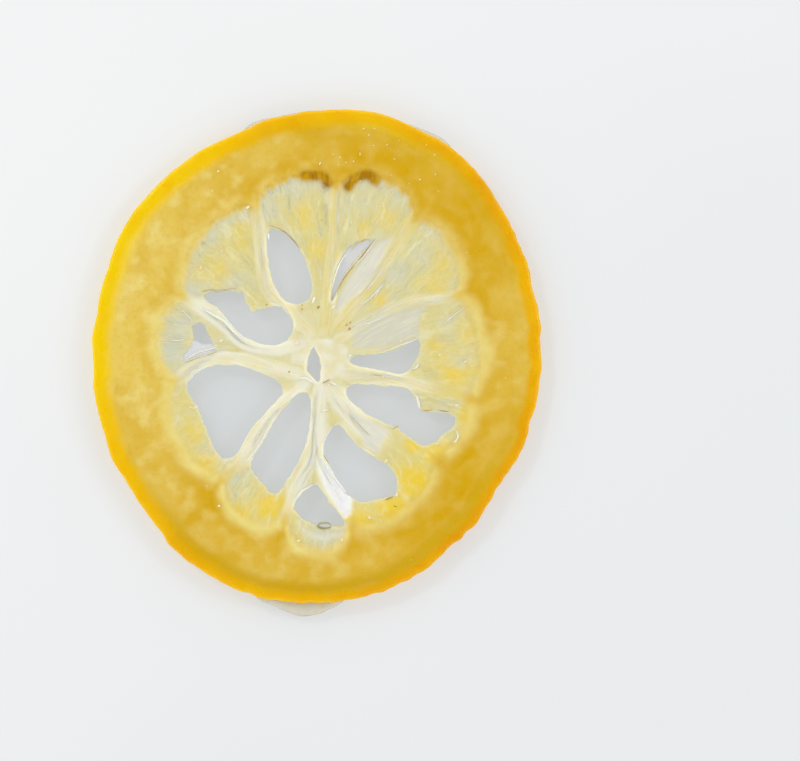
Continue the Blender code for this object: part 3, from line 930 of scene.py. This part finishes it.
def grown(name, mesh, tree, inputs):
    """The plain mesh that a tree makes of another, as an object."""
    holder = linked(name + "_lines", mesh)
    modifier = holder.modifiers.new("grown", "NODES")
    modifier.node_group = tree
    for item in tree.interface.items_tree:
        if item.in_out == "INPUT" and item.name in inputs:
            modifier[item.identifier] = inputs[item.name]
    depsgraph = bpy.context.evaluated_depsgraph_get()
    result = bpy.data.meshes.new_from_object(holder.evaluated_get(depsgraph))
    bpy.data.objects.remove(holder)
    result.name = name
    return linked(name, result)


def polar_lines(table):
    """A table's lines round the core as x, y."""
    return [(half_width, round_core(line)) for half_width, line in table]


def strands(name, lines, material, lift=0.3):
    """Strands that lie on the upper face: each line is (half width, points)."""
    runs, edges, thickness, first = [], [], [], 0
    for half_width, points in lines:
        run = smooth_line(points, 0.12)
        share = np.linspace(0, 1, len(run))
        runs.append(run)
        thickness.append(half_width * (0.2 + 0.8 * np.sin(np.pi * share) ** 0.6))
        edges += [(first + k, first + k + 1) for k in range(len(run) - 1)]
        first += len(run)
    runs, thickness = np.vstack(runs), np.concatenate(thickness)
    heights = upper_height(runs) + lift * thickness
    mesh = bpy.data.meshes.new(name + "_lines")
    mesh.from_pydata((np.column_stack([runs, heights]) * MM).tolist(), edges, [])
    store(mesh, "thickness", "FLOAT", thickness * MM)
    return grown(name, mesh, STRANDS, {"Material": material})


def beads(name, table, material, flatness=0.5):
    """Beads that sit on the upper face."""
    points = round_core(table)
    radius = np.array([bead[2] for bead in table]) * BEAD_SIZE
    draw = np.random.default_rng(17)
    heights = upper_height(points) + 0.15 * radius
    mesh = bpy.data.meshes.new(name + "_lines")
    mesh.from_pydata((np.column_stack([points, heights]) * MM).tolist(), [], [])
    longer = draw.uniform(1.0, 1.5, len(radius))
    radii = np.column_stack([radius * longer, radius / longer, radius * flatness])
    store(mesh, "radii", "FLOAT_VECTOR", radii * MM)
    turns = np.zeros((len(radius), 3))
    turns[:, 2] = draw.uniform(0.4, 1.4, len(radius))
    store(mesh, "turn", "FLOAT_VECTOR", turns)
    return grown(name, mesh, BEAD, {"Material": material})


def strewn_beads(slice_mesh, material):
    """Fine beads of syrup, mostly on the pith at the top, pale as a painted highlight."""
    mesh = slice_mesh.copy()
    places = np.zeros(len(mesh.vertices) * 3, np.float32)
    mesh.vertices.foreach_get("co", places)
    points = places.reshape(-1, 3)[:, :2].astype(float) / MM
    upper = np.zeros(len(points), np.float32)
    mesh.attributes["upper_face"].data.foreach_get("value", upper)
    share = 0.012
    for centre, spread, strength in ((((82, 28.0),), 3.6, 0.55), (((66, 27.5),), 3.0, 0.35)):
        share = share + strength * bell(np.linalg.norm(points - round_core(centre)[0], axis=1), spread)
    store(mesh, "bead_share", "FLOAT", share * upper)
    return grown("syrup_mist", mesh, SCATTER, {"Material": material})


def sac_lines(count, seed):
    """Fine skins of the juice sacs, which fan out from the core in each segment."""
    draw = np.random.default_rng(seed)
    notches = sorted(wall.line[-1][0] for wall in WALLS.values())
    lines = []
    while len(lines) < count:
        number = draw.integers(len(notches))
        start = notches[number]
        width = (notches[(number + 1) % len(notches)] - start) % 360
        share, inner, length = draw.uniform(0.06, 0.94), draw.uniform(11.0, 23.0), draw.uniform(1.0, 3.6)
        reaches = np.linspace(inner, inner + length, 5)
        along = np.linspace(-1, 1, 5)
        bend = draw.normal(0, 0.8) * along + draw.normal(0, 0.5) * along**2
        directions = start + width * share + bend
        half_width = draw.uniform(0.05, 0.11)
        lines.append((half_width, round_core(list(zip(directions, reaches)))))
    corners = np.vstack([points for _, points in lines])
    f = surface_fields(corners, rim_and_openings)
    solid = inside(corners, rim_and_openings) & (f["gap"] > 0.25)
    pale = (f["open_flesh"] > 0.35) & (f["yellow"] < 0.5)
    kept = (solid & pale).reshape(count, 5).all(axis=1)
    return [line for line, keep in zip(lines, kept) if keep]


def to_the_right(line):
    """Unit normals to the right of the way an open line runs."""
    along = np.gradient(line, axis=0)
    return np.column_stack([along[:, 1], -along[:, 0]]) / np.linalg.norm(along, axis=1)[:, None]


def wall_lines(seed):
    """Fibres along the walls."""
    draw = np.random.default_rng(seed)
    lines = []
    for wall in WALLS.values():
        middle = smooth_line(round_core(wall.line), 0.4)
        middle = middle[polar(middle)[1] < wall.fade]
        out = to_the_right(middle)
        for _ in range(3):
            start = draw.integers(0, max(1, len(middle) - 12))
            stop = min(len(middle), start + draw.integers(9, 26))
            side = draw.uniform(-0.36, 0.36) * wall.width
            wave = side + 0.06 * wall.width * np.sin(np.arange(stop - start) / draw.uniform(2.5, 5.0))
            run = middle[start:stop] + out[start:stop] * wave[:, None]
            lines.append((draw.uniform(0.08, 0.18), run))
    return lines


def clear_skin(name, height, outline, material):
    """A thin clear skin across a gap, closed all round."""
    loop = smooth_line(round_core(outline), 0.3, closed=True)
    plan, triangles, place = triangulated([loop], [grid(0.4, 5)], 0.15)
    top = height + 0.12 * bumps(plan, 1.6, 51.0, 2)
    verts = np.vstack([np.column_stack([plan, top]), np.column_stack([plan, top - SKIN_THICKNESS])])
    faces = [tuple(t) for t in triangles] + [tuple(len(plan) + c for c in t[::-1]) for t in triangles]
    edge = [place[k] for k in range(len(loop))]
    faces += band(edge, [len(plan) + k for k in edge])
    mesh = bpy.data.meshes.new(name)
    mesh.from_pydata((verts * MM).tolist(), [], faces)
    mesh.materials.append(material)
    mesh.shade_smooth()
    return linked(name, mesh)


def syrup_lip(name, table, outline, material):
    """Clear syrup that hangs on the rim, one ring of its cross-section after another."""
    table = np.array(table)
    degrees = polar(outline)[0] % 360
    stations = np.linspace(table[0, 0], table[-1, 0], 49)
    order = np.argsort(degrees)
    rim = np.column_stack([np.interp(stations, degrees[order], outline[order, k]) for k in (0, 1)])
    rim = np.array([rim[max(0, i - 2) : i + 3].mean(axis=0) for i in range(len(rim))])
    out = to_the_right(rim)
    stands = np.interp(stations, table[:, 0], table[:, 1])
    stands = np.convolve(np.pad(stands, 2, mode="edge"), np.ones(5) / 5, mode="valid")
    around = np.linspace(0, 2 * math.pi, 32, endpoint=False)
    verts, faces, outer = [], [], []
    for point, away, stand in zip(rim, out, stands):
        full = ease(stand / 0.4)
        half_width, tall = (stand + 0.7) / 2, 0.15 + 0.25 * full + 0.45 * min(1.0, stand)
        centre = point + away * (stand - half_width - 0.3 * (1 - full))
        for turn in around:
            place = centre + away * half_width * math.cos(turn)
            swell = math.copysign(abs(math.sin(turn)) ** 0.8, math.sin(turn))
            verts.append((*place, 0.04 + tall * (1 + swell)))
            outer.append(ease((math.cos(turn) - 0.86) / 0.14))
    rings = np.arange(len(verts)).reshape(len(stations), len(around)).tolist()
    for before, after in zip(rings, rings[1:]):
        faces += band(before, after)
    faces += [tuple(rings[0]), tuple(rings[-1][::-1])]
    mesh = bpy.data.meshes.new(name)
    mesh.from_pydata((np.array(verts) * MM).tolist(), [], faces)
    store(mesh, "outer_edge", "FLOAT", outer)
    mesh.materials.append(material)
    mesh.shade_smooth()
    shape = bmesh.new()
    shape.from_mesh(mesh)
    bmesh.ops.recalc_face_normals(shape, faces=shape.faces)
    shape.to_mesh(mesh)
    shape.free()
    return linked(name, mesh)


# ----------------------------------------------------------------------------------------- materials


def new_material(name):
    """A material, its node tree and its shader."""
    material = bpy.data.materials.new(name)
    material.use_nodes = True
    return material, material.node_tree, material.node_tree.nodes["Principled BSDF"]


def add(tree, kind, sockets=None, **settings):
    """A new node with its settings, its numbers and its links."""
    made = tree.nodes.new(kind)
    for name, value in settings.items():
        setattr(made, name, value)
    for name, value in (sockets or {}).items():
        if isinstance(value, bpy.types.NodeSocket):
            tree.links.new(value, made.inputs[name])
        else:
            made.inputs[name].default_value = value
    return made


def tune(shader, numbers):
    """Numbers and colours that are the same all over, on the shader's own sockets."""
    for name, value in numbers.items():
        shader.inputs[name].default_value = value


def blend(tree, share, first, second):
    """A colour between two: sockets, screen colours or linear ones."""
    first, second = (linear(c) if isinstance(c, tuple) and len(c) == 3 else c for c in (first, second))
    return add(tree, "ShaderNodeMix", {0: share, 6: first, 7: second}, data_type="RGBA").outputs[2]


def maths(tree, operation, first, second=0.0, clamp=False):
    """One sum, as a socket."""
    return add(tree, "ShaderNodeMath", {0: first, 1: second}, operation=operation, use_clamp=clamp).outputs[0]


def field(tree, name):
    """A field of the mesh."""
    return add(tree, "ShaderNodeAttribute", attribute_name=name)


def ranged(tree, value, low, high, to_low=0.0, to_high=1.0):
    """A value stretched from one range to another, easing at the ends."""
    sockets = {0: value, 1: low, 2: high, 3: to_low, 4: to_high}
    return add(tree, "ShaderNodeMapRange", sockets, interpolation_type="SMOOTHSTEP").outputs[0]


def clouds(tree, place, size, detail=2.0, roughness=0.5):
    """Noise with bumps of a size in the place's own units."""
    sockets = {"Vector": place, "Scale": 1.0 / size, "Detail": detail, "Roughness": roughness}
    return add(tree, "ShaderNodeTexNoise", sockets).outputs["Fac"]


def share_of(tree, name, times=1.0):
    """A field's share, as a socket."""
    value = field(tree, name).outputs["Fac"]
    return value if times == 1.0 else maths(tree, "MULTIPLY", value, times)


def tinted(tree, base, tints):
    """Colours laid over another, each where its field is: (field, strength, colour)."""
    for name, strength, colour in tints:
        base = blend(tree, share_of(tree, name, strength), base, colour)
    return base


def pith_colour(tree, place):
    """Spongy pith: cloudy, deeper towards one side as painted shade, and the rind round it."""
    # Random large patches of tone, deepened by painted shade by direction and by the shadow by the flesh.
    large = ranged(tree, clouds(tree, place, 6.0 * MM, 2.0), 0.30, 0.70, -0.22, 0.22)
    tone_and_shade = maths(tree, "ADD", share_of(tree, "pith_shade"), large, clamp=True)
    tone_and_shade = maths(tree, "ADD", tone_and_shade, share_of(tree, "shadow", 0.25), clamp=True)
    pith = blend(tree, tone_and_shade, PITH_PALE, PITH_GRAIN_AND_SHADE)
    cloud = ranged(tree, clouds(tree, place, 2.0 * MM, 1.0, 0.4), 0.42, 0.80, 0.0, 1.0)
    cloud = maths(tree, "MULTIPLY", cloud, ranged(tree, share_of(tree, "pith_shade"), 0.1, 1.0, 1.0, 0.2))
    pith = blend(tree, cloud, pith, PITH_CLOUD)
    speckle = ranged(tree, clouds(tree, place, 0.55 * MM, 3.0, 0.6), 0.45, 0.75, 0.0, 0.30)
    pith = blend(tree, speckle, pith, PITH_GRAIN_AND_SHADE)
    pith = tinted(tree, pith, (
        ("inner_line", 0.12, PITH_CLOUD), ("halo", 0.85, HALO), ("amber", 0.55, AMBER),
        ("olive", 0.75, OLIVE), ("glow", 0.85, GLOW),
    ))
    rind = blend(tree, share_of(tree, "rind_yellow"), RIND_ORANGE, RIND_YELLOW)
    rind = blend(tree, share_of(tree, "olive", 0.6), rind, OLIVE)
    return blend(tree, share_of(tree, "rind"), pith, rind)


def flesh_colour(tree, fan):
    """What is left of the juice sacs: pale, with yellow juice and clear places drawn out to the core."""
    wide = clouds(tree, fan, 2.2, 1.0, 0.5)
    streak = clouds(tree, fan, 0.6, 3.0, 0.55)
    fine = clouds(tree, fan, 0.22, 3.0, 0.6)
    mixed = maths(tree, "ADD", maths(tree, "MULTIPLY", wide, 0.5), maths(tree, "MULTIPLY", streak, 0.5))
    juice = ranged(tree, maths(tree, "ADD", share_of(tree, "yellow", 0.8), mixed), 0.38, 1.30, 0.0, 1.0)
    flesh = blend(tree, juice, FLESH, FLESH_YELLOW)
    gone = maths(tree, "SUBTRACT", share_of(tree, "clear", 0.8), maths(tree, "MULTIPLY", mixed, 0.9))
    flesh = blend(tree, ranged(tree, gone, -0.45, 0.50, 0.0, 0.8), flesh, FLESH_CLEAR)
    flesh = blend(tree, share_of(tree, "margin", 0.8), flesh, FLESH_CLEAR)
    open_streak = ranged(tree, wide, 0.50, 0.70, 0.0, 0.55)
    open_streak = maths(tree, "MULTIPLY", open_streak, share_of(tree, "margin_open"))
    flesh = blend(tree, open_streak, flesh, FLESH_CLEAR)
    notches = maths(tree, "MULTIPLY", ranged(tree, fine, 0.52, 0.64), share_of(tree, "margin", 0.6))
    calm = maths(tree, "SUBTRACT", 1.0, share_of(tree, "yellow", 0.75), clamp=True)
    light = maths(tree, "MULTIPLY", ranged(tree, streak, 0.52, 0.74, 0.0, 0.75), calm)
    dim = maths(tree, "MULTIPLY", ranged(tree, fine, 0.48, 0.26, 0.0, 0.30), calm)
    flesh = blend(tree, dim, flesh, FLESH_SHADE)
    flesh = blend(tree, notches, flesh, NOTCH)
    flesh = blend(tree, share_of(tree, "amber", 0.6), flesh, AMBER)
    flesh = blend(tree, light, flesh, SAC_SKIN)
    flesh = tinted(tree, flesh, (("near_core", 0.75, FLESH_AT_CORE), ("sac_skin", 0.22, SAC_SKIN)))
    thin = ranged(tree, share_of(tree, "edge_gap"), 0.22, 0.0, 0.0, 0.45)
    return blend(tree, thin, flesh, FLESH_CLEAR)


FRUIT_IOR = 1.38
SYRUP_IOR = 1.42


def lemon_material():
    """Rind, pith, walls, flesh and skins of flesh, from the fields of the mesh and fine noise."""
    material, tree, shader = new_material("candied_lemon")
    place = add(tree, "ShaderNodeTexCoord").outputs["Object"]
    fan = field(tree, "fan").outputs["Vector"]
    fan = add(tree, "ShaderNodeMapping", {"Vector": fan, "Scale": (1.0, 0.20, 1.0)}).outputs[0]
    swirl = add(tree, "ShaderNodeTexNoise", {"Vector": place, "Scale": 420.0, "Detail": 2.0}).outputs["Color"]
    swirl = add(tree, "ShaderNodeVectorMath", {0: swirl, 3: 0.8}, operation="SCALE").outputs[0]
    fan = add(tree, "ShaderNodeVectorMath", {0: fan, 1: swirl}, operation="ADD").outputs[0]
    along = field(tree, "along_wall").outputs["Vector"]
    along = add(tree, "ShaderNodeMapping", {"Vector": along, "Scale": (1.0, 0.10, 1.0)}).outputs[0]

    flesh = flesh_colour(tree, fan)
    fibre = clouds(tree, along, 0.34, 3.0, 0.55)
    fibre = blend(tree, share_of(tree, "core"), fibre, clouds(tree, place, 1.8 * MM, 2.0))
    fibrous = ranged(tree, fibre, 0.3, 0.7, -0.25, 0.25)
    tone = maths(tree, "ADD", share_of(tree, "wall_tone"), fibrous, clamp=True)
    wall = blend(tree, tone, WALL_YELLOW, WALL_WHITE)
    # Walls paler towards the gaps' edges: painted highlight.
    edge = ranged(tree, share_of(tree, "edge_gap"), 0.30, 0.05, 0.0, 0.5)
    wall = blend(tree, edge, wall, EDGE_HIGHLIGHT)
    wall = blend(tree, share_of(tree, "wall_end"), wall, PITH_AT_WALLS)
    flesh = blend(tree, share_of(tree, "wall"), flesh, wall)
    film = blend(tree, share_of(tree, "film_tone"), FILM, FILM_WHITE)
    # Pale streaks in the skins of flesh: painted highlight.
    film = blend(tree, ranged(tree, fibre, 0.42, 0.72, 0.0, 0.35), film, EDGE_HIGHLIGHT)
    flesh = blend(tree, share_of(tree, "film"), flesh, film)

    colour = blend(tree, share_of(tree, "flesh"), pith_colour(tree, place), flesh)
    # The painted shadow at two segments' ends, mottled between two depths.
    end_shadow_mottle = ranged(tree, clouds(tree, fan, 0.7, 2.0), 0.40, 0.66)
    end_shadow = blend(tree, end_shadow_mottle, END_SHADOW, END_SHADOW_DEEP)
    colour = blend(tree, share_of(tree, "end_shadow"), colour, end_shadow)
    tree.links.new(colour, shader.inputs["Base Color"])

    wet = ranged(tree, clouds(tree, place, 1.6 * MM, 2.0), 0.35, 0.65, 0.24, 0.42)
    tree.links.new(wet, shader.inputs["Roughness"])
    small = maths(tree, "MULTIPLY", clouds(tree, place, 0.22 * MM, 2.0, 0.6), 0.4)
    drawn_out = maths(tree, "MULTIPLY", clouds(tree, fan, 0.5, 2.0, 0.5), share_of(tree, "open_flesh", 1.6))
    relief = maths(tree, "ADD", small, drawn_out)
    bump = add(tree, "ShaderNodeBump", {"Height": relief, "Strength": 0.45, "Distance": 0.14 * MM})
    tree.links.new(bump.outputs["Normal"], shader.inputs["Normal"])
    tune(shader, {
        "Subsurface Weight": 0.7, "Subsurface Radius": (1.0, 0.8, 0.35), "Subsurface Scale": 0.7 * MM,
        "IOR": FRUIT_IOR, "Specular IOR Level": 0.3, "Coat Weight": 0.08, "Coat Roughness": 0.12,
    })
    return material


def strand_material(name, first, second, roughness):
    """Skins and threads: two colours in soft patches."""
    material, tree, shader = new_material(name)
    place = add(tree, "ShaderNodeTexCoord").outputs["Object"]
    share = ranged(tree, clouds(tree, place, 1.4 * MM, 2.0), 0.35, 0.65)
    tree.links.new(blend(tree, share, first, second), shader.inputs["Base Color"])
    wet = ranged(tree, clouds(tree, place, 0.6 * MM, 1.0), 0.3, 0.7, roughness, roughness + 0.15)
    tree.links.new(wet, shader.inputs["Roughness"])
    tune(shader, {
        "Subsurface Weight": 0.4, "Subsurface Radius": (1.0, 0.8, 0.4), "Subsurface Scale": 0.3 * MM,
        "IOR": FRUIT_IOR,
    })
    return material


def syrup_material(name, first, second, scatter, solid):
    """Sugar syrup: how much it scatters, how solid it looks, and a darker outer edge, painted shade, where it
    has one.
    """
    material, tree, shader = new_material(name)
    place = add(tree, "ShaderNodeTexCoord").outputs["Object"]
    share = ranged(tree, clouds(tree, place, 2.0 * MM, 2.0), 0.35, 0.65)
    colour = blend(tree, share, first, second)
    # Darker at the lip's outer edge: painted shade.
    colour = blend(tree, share_of(tree, "outer_edge", 0.8), colour, SYRUP_EDGE_SHADE)
    tree.links.new(colour, shader.inputs["Base Color"])
    ripple = clouds(tree, place, 1.1 * MM, 1.0)
    bump = add(tree, "ShaderNodeBump", {"Height": ripple, "Strength": 0.2, "Distance": 0.1 * MM})
    tree.links.new(bump.outputs["Normal"], shader.inputs["Normal"])
    tune(shader, {
        "Subsurface Weight": scatter, "Subsurface Radius": (1.0, 1.0, 0.9), "Subsurface Scale": 0.6 * MM,
        "IOR": SYRUP_IOR, "Roughness": 0.08, "Alpha": solid,
    })
    return material


# The floor: linear colours at its two sides, lighter towards the upper left as painted light, and a darker
# colour below the slice, painted shade that shows in the openings; how much it glows in the open and in
# that painted shade, and how far the shade reaches from the core.
FLOOR_LIT_AND_DIM_SIDES = (0.447, 0.446, 0.449, 1.0), (0.516, 0.508, 0.500, 1.0)
FLOOR_SHADE_BELOW = (0.27, 0.28, 0.285, 1.0)
OPEN_GLOW = 0.40
SHADE_GLOW = 0.44
UNDER_SLICE = 26.0


def floor_material():
    """A pale, glowing floor: lighter towards the upper left as painted light, and evenly darker below the
    slice as painted shade.
    """
    material, tree, shader = new_material("pale_floor")
    place = add(tree, "ShaderNodeTexCoord").outputs["Object"]
    # Lighter towards the upper left: painted light.
    across = add(tree, "ShaderNodeVectorMath", {0: place, 1: (-0.7, 0.7, 0.0)}, operation="DOT_PRODUCT")
    light_falloff = ranged(tree, clouds(tree, place, 0.06, 1.0), 0.3, 0.7, -8.0 * MM, 8.0 * MM)
    light_falloff = ranged(tree, maths(tree, "ADD", across.outputs["Value"], light_falloff), -60.0 * MM, 60.0 * MM)
    open_floor = blend(tree, light_falloff, *FLOOR_LIT_AND_DIM_SIDES)
    to_core = (-CORE[0] * MM, -CORE[1] * MM, 0.0)
    centre = add(tree, "ShaderNodeMapping", {"Vector": place, "Location": to_core})
    far = add(tree, "ShaderNodeVectorMath", {0: centre.outputs[0]}, operation="LENGTH").outputs["Value"]
    # Darker below the slice, where only its openings show it: painted shade.
    shade = ranged(tree, far, (UNDER_SLICE - 1.5) * MM, (UNDER_SLICE + 1.0) * MM, 1.0, 0.0)
    colour = blend(tree, shade, open_floor, FLOOR_SHADE_BELOW)
    tree.links.new(colour, shader.inputs["Base Color"])
    tree.links.new(ranged(tree, shade, 0.0, 1.0, OPEN_GLOW, SHADE_GLOW), shader.inputs["Emission Strength"])
    tune(shader, {"Roughness": 0.9, "Specular IOR Level": 0.1, "Emission Color": (0.95, 0.985, 1.0, 1.0)})
    return material


# ------------------------------------------------------------------------------- floor, light, camera

# Strengths of the light from overhead and from all round, and the camera's view.
ZENITH_LIGHT = 0.18
RING_LIGHT = 1.27
CAMERA_DISTANCE = 400.0
SENSOR_WIDTH = 36.0
VIEW_WIDTH = 103.57
VIEW_CENTRE = (10.745, -3.107)


def lay_floor():
    """A square of floor, just clear of the slice's underside."""
    mesh = bpy.data.meshes.new("floor")
    corners = [(-1.5, -1.5, 0), (1.5, -1.5, 0), (1.5, 1.5, 0), (-1.5, 1.5, 0)]
    mesh.from_pydata(corners, [], [(0, 1, 2, 3)])
    mesh.materials.append(floor_material())
    floor = linked("floor", mesh)
    floor.location.z = -0.05 * MM


def hang_light(name, place, size, power):
    """A round lamp that points at the slice."""
    lamp = bpy.data.lights.new(name, "AREA")
    lamp.shape = "DISK"
    lamp.size = size
    lamp.energy = power
    holder = linked(name, lamp)
    holder.location = place
    holder.rotation_euler = (-Vector(place)).to_track_quat("-Z", "Y").to_euler()


def light_scene():
    """A soft ring of light all round, darker overhead so that wet surfaces keep their colour."""
    world = bpy.data.worlds.new("studio")
    world.use_nodes = True
    tree = world.node_tree
    direction = add(tree, "ShaderNodeTexCoord").outputs["Generated"]
    height = add(tree, "ShaderNodeSeparateXYZ", {0: direction}).outputs["Z"]
    strength = ranged(tree, height, 0.70, 0.92, RING_LIGHT, ZENITH_LIGHT)
    background = tree.nodes["Background"]
    background.inputs["Color"].default_value = (0.975, 0.988, 1.0, 1.0)
    tree.links.new(strength, background.inputs["Strength"])
    bpy.context.scene.world = world
    hang_light("left_lamp", (-0.30, 0.30, 0.42), 0.06, 0.35)
    hang_light("right_lamp", (0.42, 0.10, 0.34), 0.05, 0.20)
    bpy.context.scene.view_settings.view_transform = "Standard"


def place_camera():
    """A camera straight above, which takes in VIEW_WIDTH at the height of the slice."""
    lens = bpy.data.cameras.new("camera")
    lens.sensor_width = SENSOR_WIDTH
    lens.lens = SENSOR_WIDTH * CAMERA_DISTANCE / VIEW_WIDTH
    holder = linked("camera", lens)
    holder.location = (VIEW_CENTRE[0] * MM, VIEW_CENTRE[1] * MM, (CAMERA_DISTANCE + THICKNESS) * MM)
    bpy.context.scene.camera = holder


# --------------------------------------------------------------------------------------------- build

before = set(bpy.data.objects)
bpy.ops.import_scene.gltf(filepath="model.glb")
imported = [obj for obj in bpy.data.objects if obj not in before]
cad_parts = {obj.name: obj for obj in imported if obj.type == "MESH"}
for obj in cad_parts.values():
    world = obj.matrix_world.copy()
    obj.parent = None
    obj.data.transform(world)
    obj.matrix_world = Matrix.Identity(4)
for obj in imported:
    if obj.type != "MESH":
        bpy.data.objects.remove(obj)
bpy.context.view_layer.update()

lemon, rim_and_openings = build_slice()
lemon.data.materials.append(lemon_material())

STRANDS, BEAD, SCATTER = strand_tree(), bead_tree(), scatter_tree()
# Near-white strands for the highlights on turned-up edges: painted highlight.
highlight_white = strand_material("painted_highlight", (254, 252, 242), (250, 246, 222), 0.15)
skin_pale = strand_material("sac_skin", (236, 232, 196), (238, 224, 150), 0.25)
fibre_pale = strand_material("wall_fibre", (238, 228, 178), (245, 240, 214), 0.25)
# Dark strands that stand for the shadow along torn edges: painted shade.
edge_shadow = strand_material("painted_edge_shadow", (206, 174, 92), (176, 138, 56), 0.35)
# A darker strand round the bubble: painted shade at its rim.
bubble_rim_shade = strand_material("bubble_rim_shade", (170, 160, 112), (196, 190, 156), 0.2)
fleck_brown = strand_material("browned_juice", (224, 160, 20), (206, 134, 6), 0.25)
syrup = syrup_material("clear_syrup", (232, 230, 214), (226, 222, 198), 0.4, 0.62)
skin_clear = syrup_material("clear_skin", (248, 250, 255), (253, 253, 253), 0.0, 0.30)
# Near-white syrup for the beads: real beads, painted pale as highlights.
highlight_syrup = syrup_material("syrup_painted_highlight", (253, 240, 206), (250, 230, 178), 0.0, 1.0)

turn = np.linspace(0, 2 * math.pi, 25)
bubble_edge = round_core((BUBBLE,)) + np.column_stack([BUBBLE[2] * np.cos(turn), BUBBLE[3] * np.sin(turn)])
pieces = [
    lemon,
    strands("sac_skins", sac_lines(300, 41), skin_pale, -0.72),
    strands("wall_fibres", wall_lines(42), fibre_pale, -0.78),
    # White lines of painted highlight on the edges.
    strands("painted_highlights", polar_lines(HIGHLIGHT_LINES), highlight_white, 0.0),
    # Painted shadow lines along the torn edges.
    strands("painted_edge_shadows", polar_lines(EDGE_SHADOW_LINES), edge_shadow, 0.1),
    strands("bubble_edge", [(0.16, bubble_edge)], bubble_rim_shade),
    beads("syrup_beads", BEADS, highlight_syrup),
    beads("brown_flecks", FLECKS, fleck_brown, 0.3),
    strewn_beads(lemon.data, highlight_syrup),
]
for skin_name, (height, outline) in CLEAR_SKINS.items():
    pieces.append(clear_skin(skin_name, height, outline, skin_clear))
for lip_number, lip in enumerate(SYRUP_LIPS):
    pieces.append(syrup_lip(f"syrup_on_rim_{lip_number}", lip, rim_and_openings[0], syrup))
for piece in pieces:
    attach(piece, "root")
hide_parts("lemon_slice")

lay_floor()
light_scene()
place_camera()
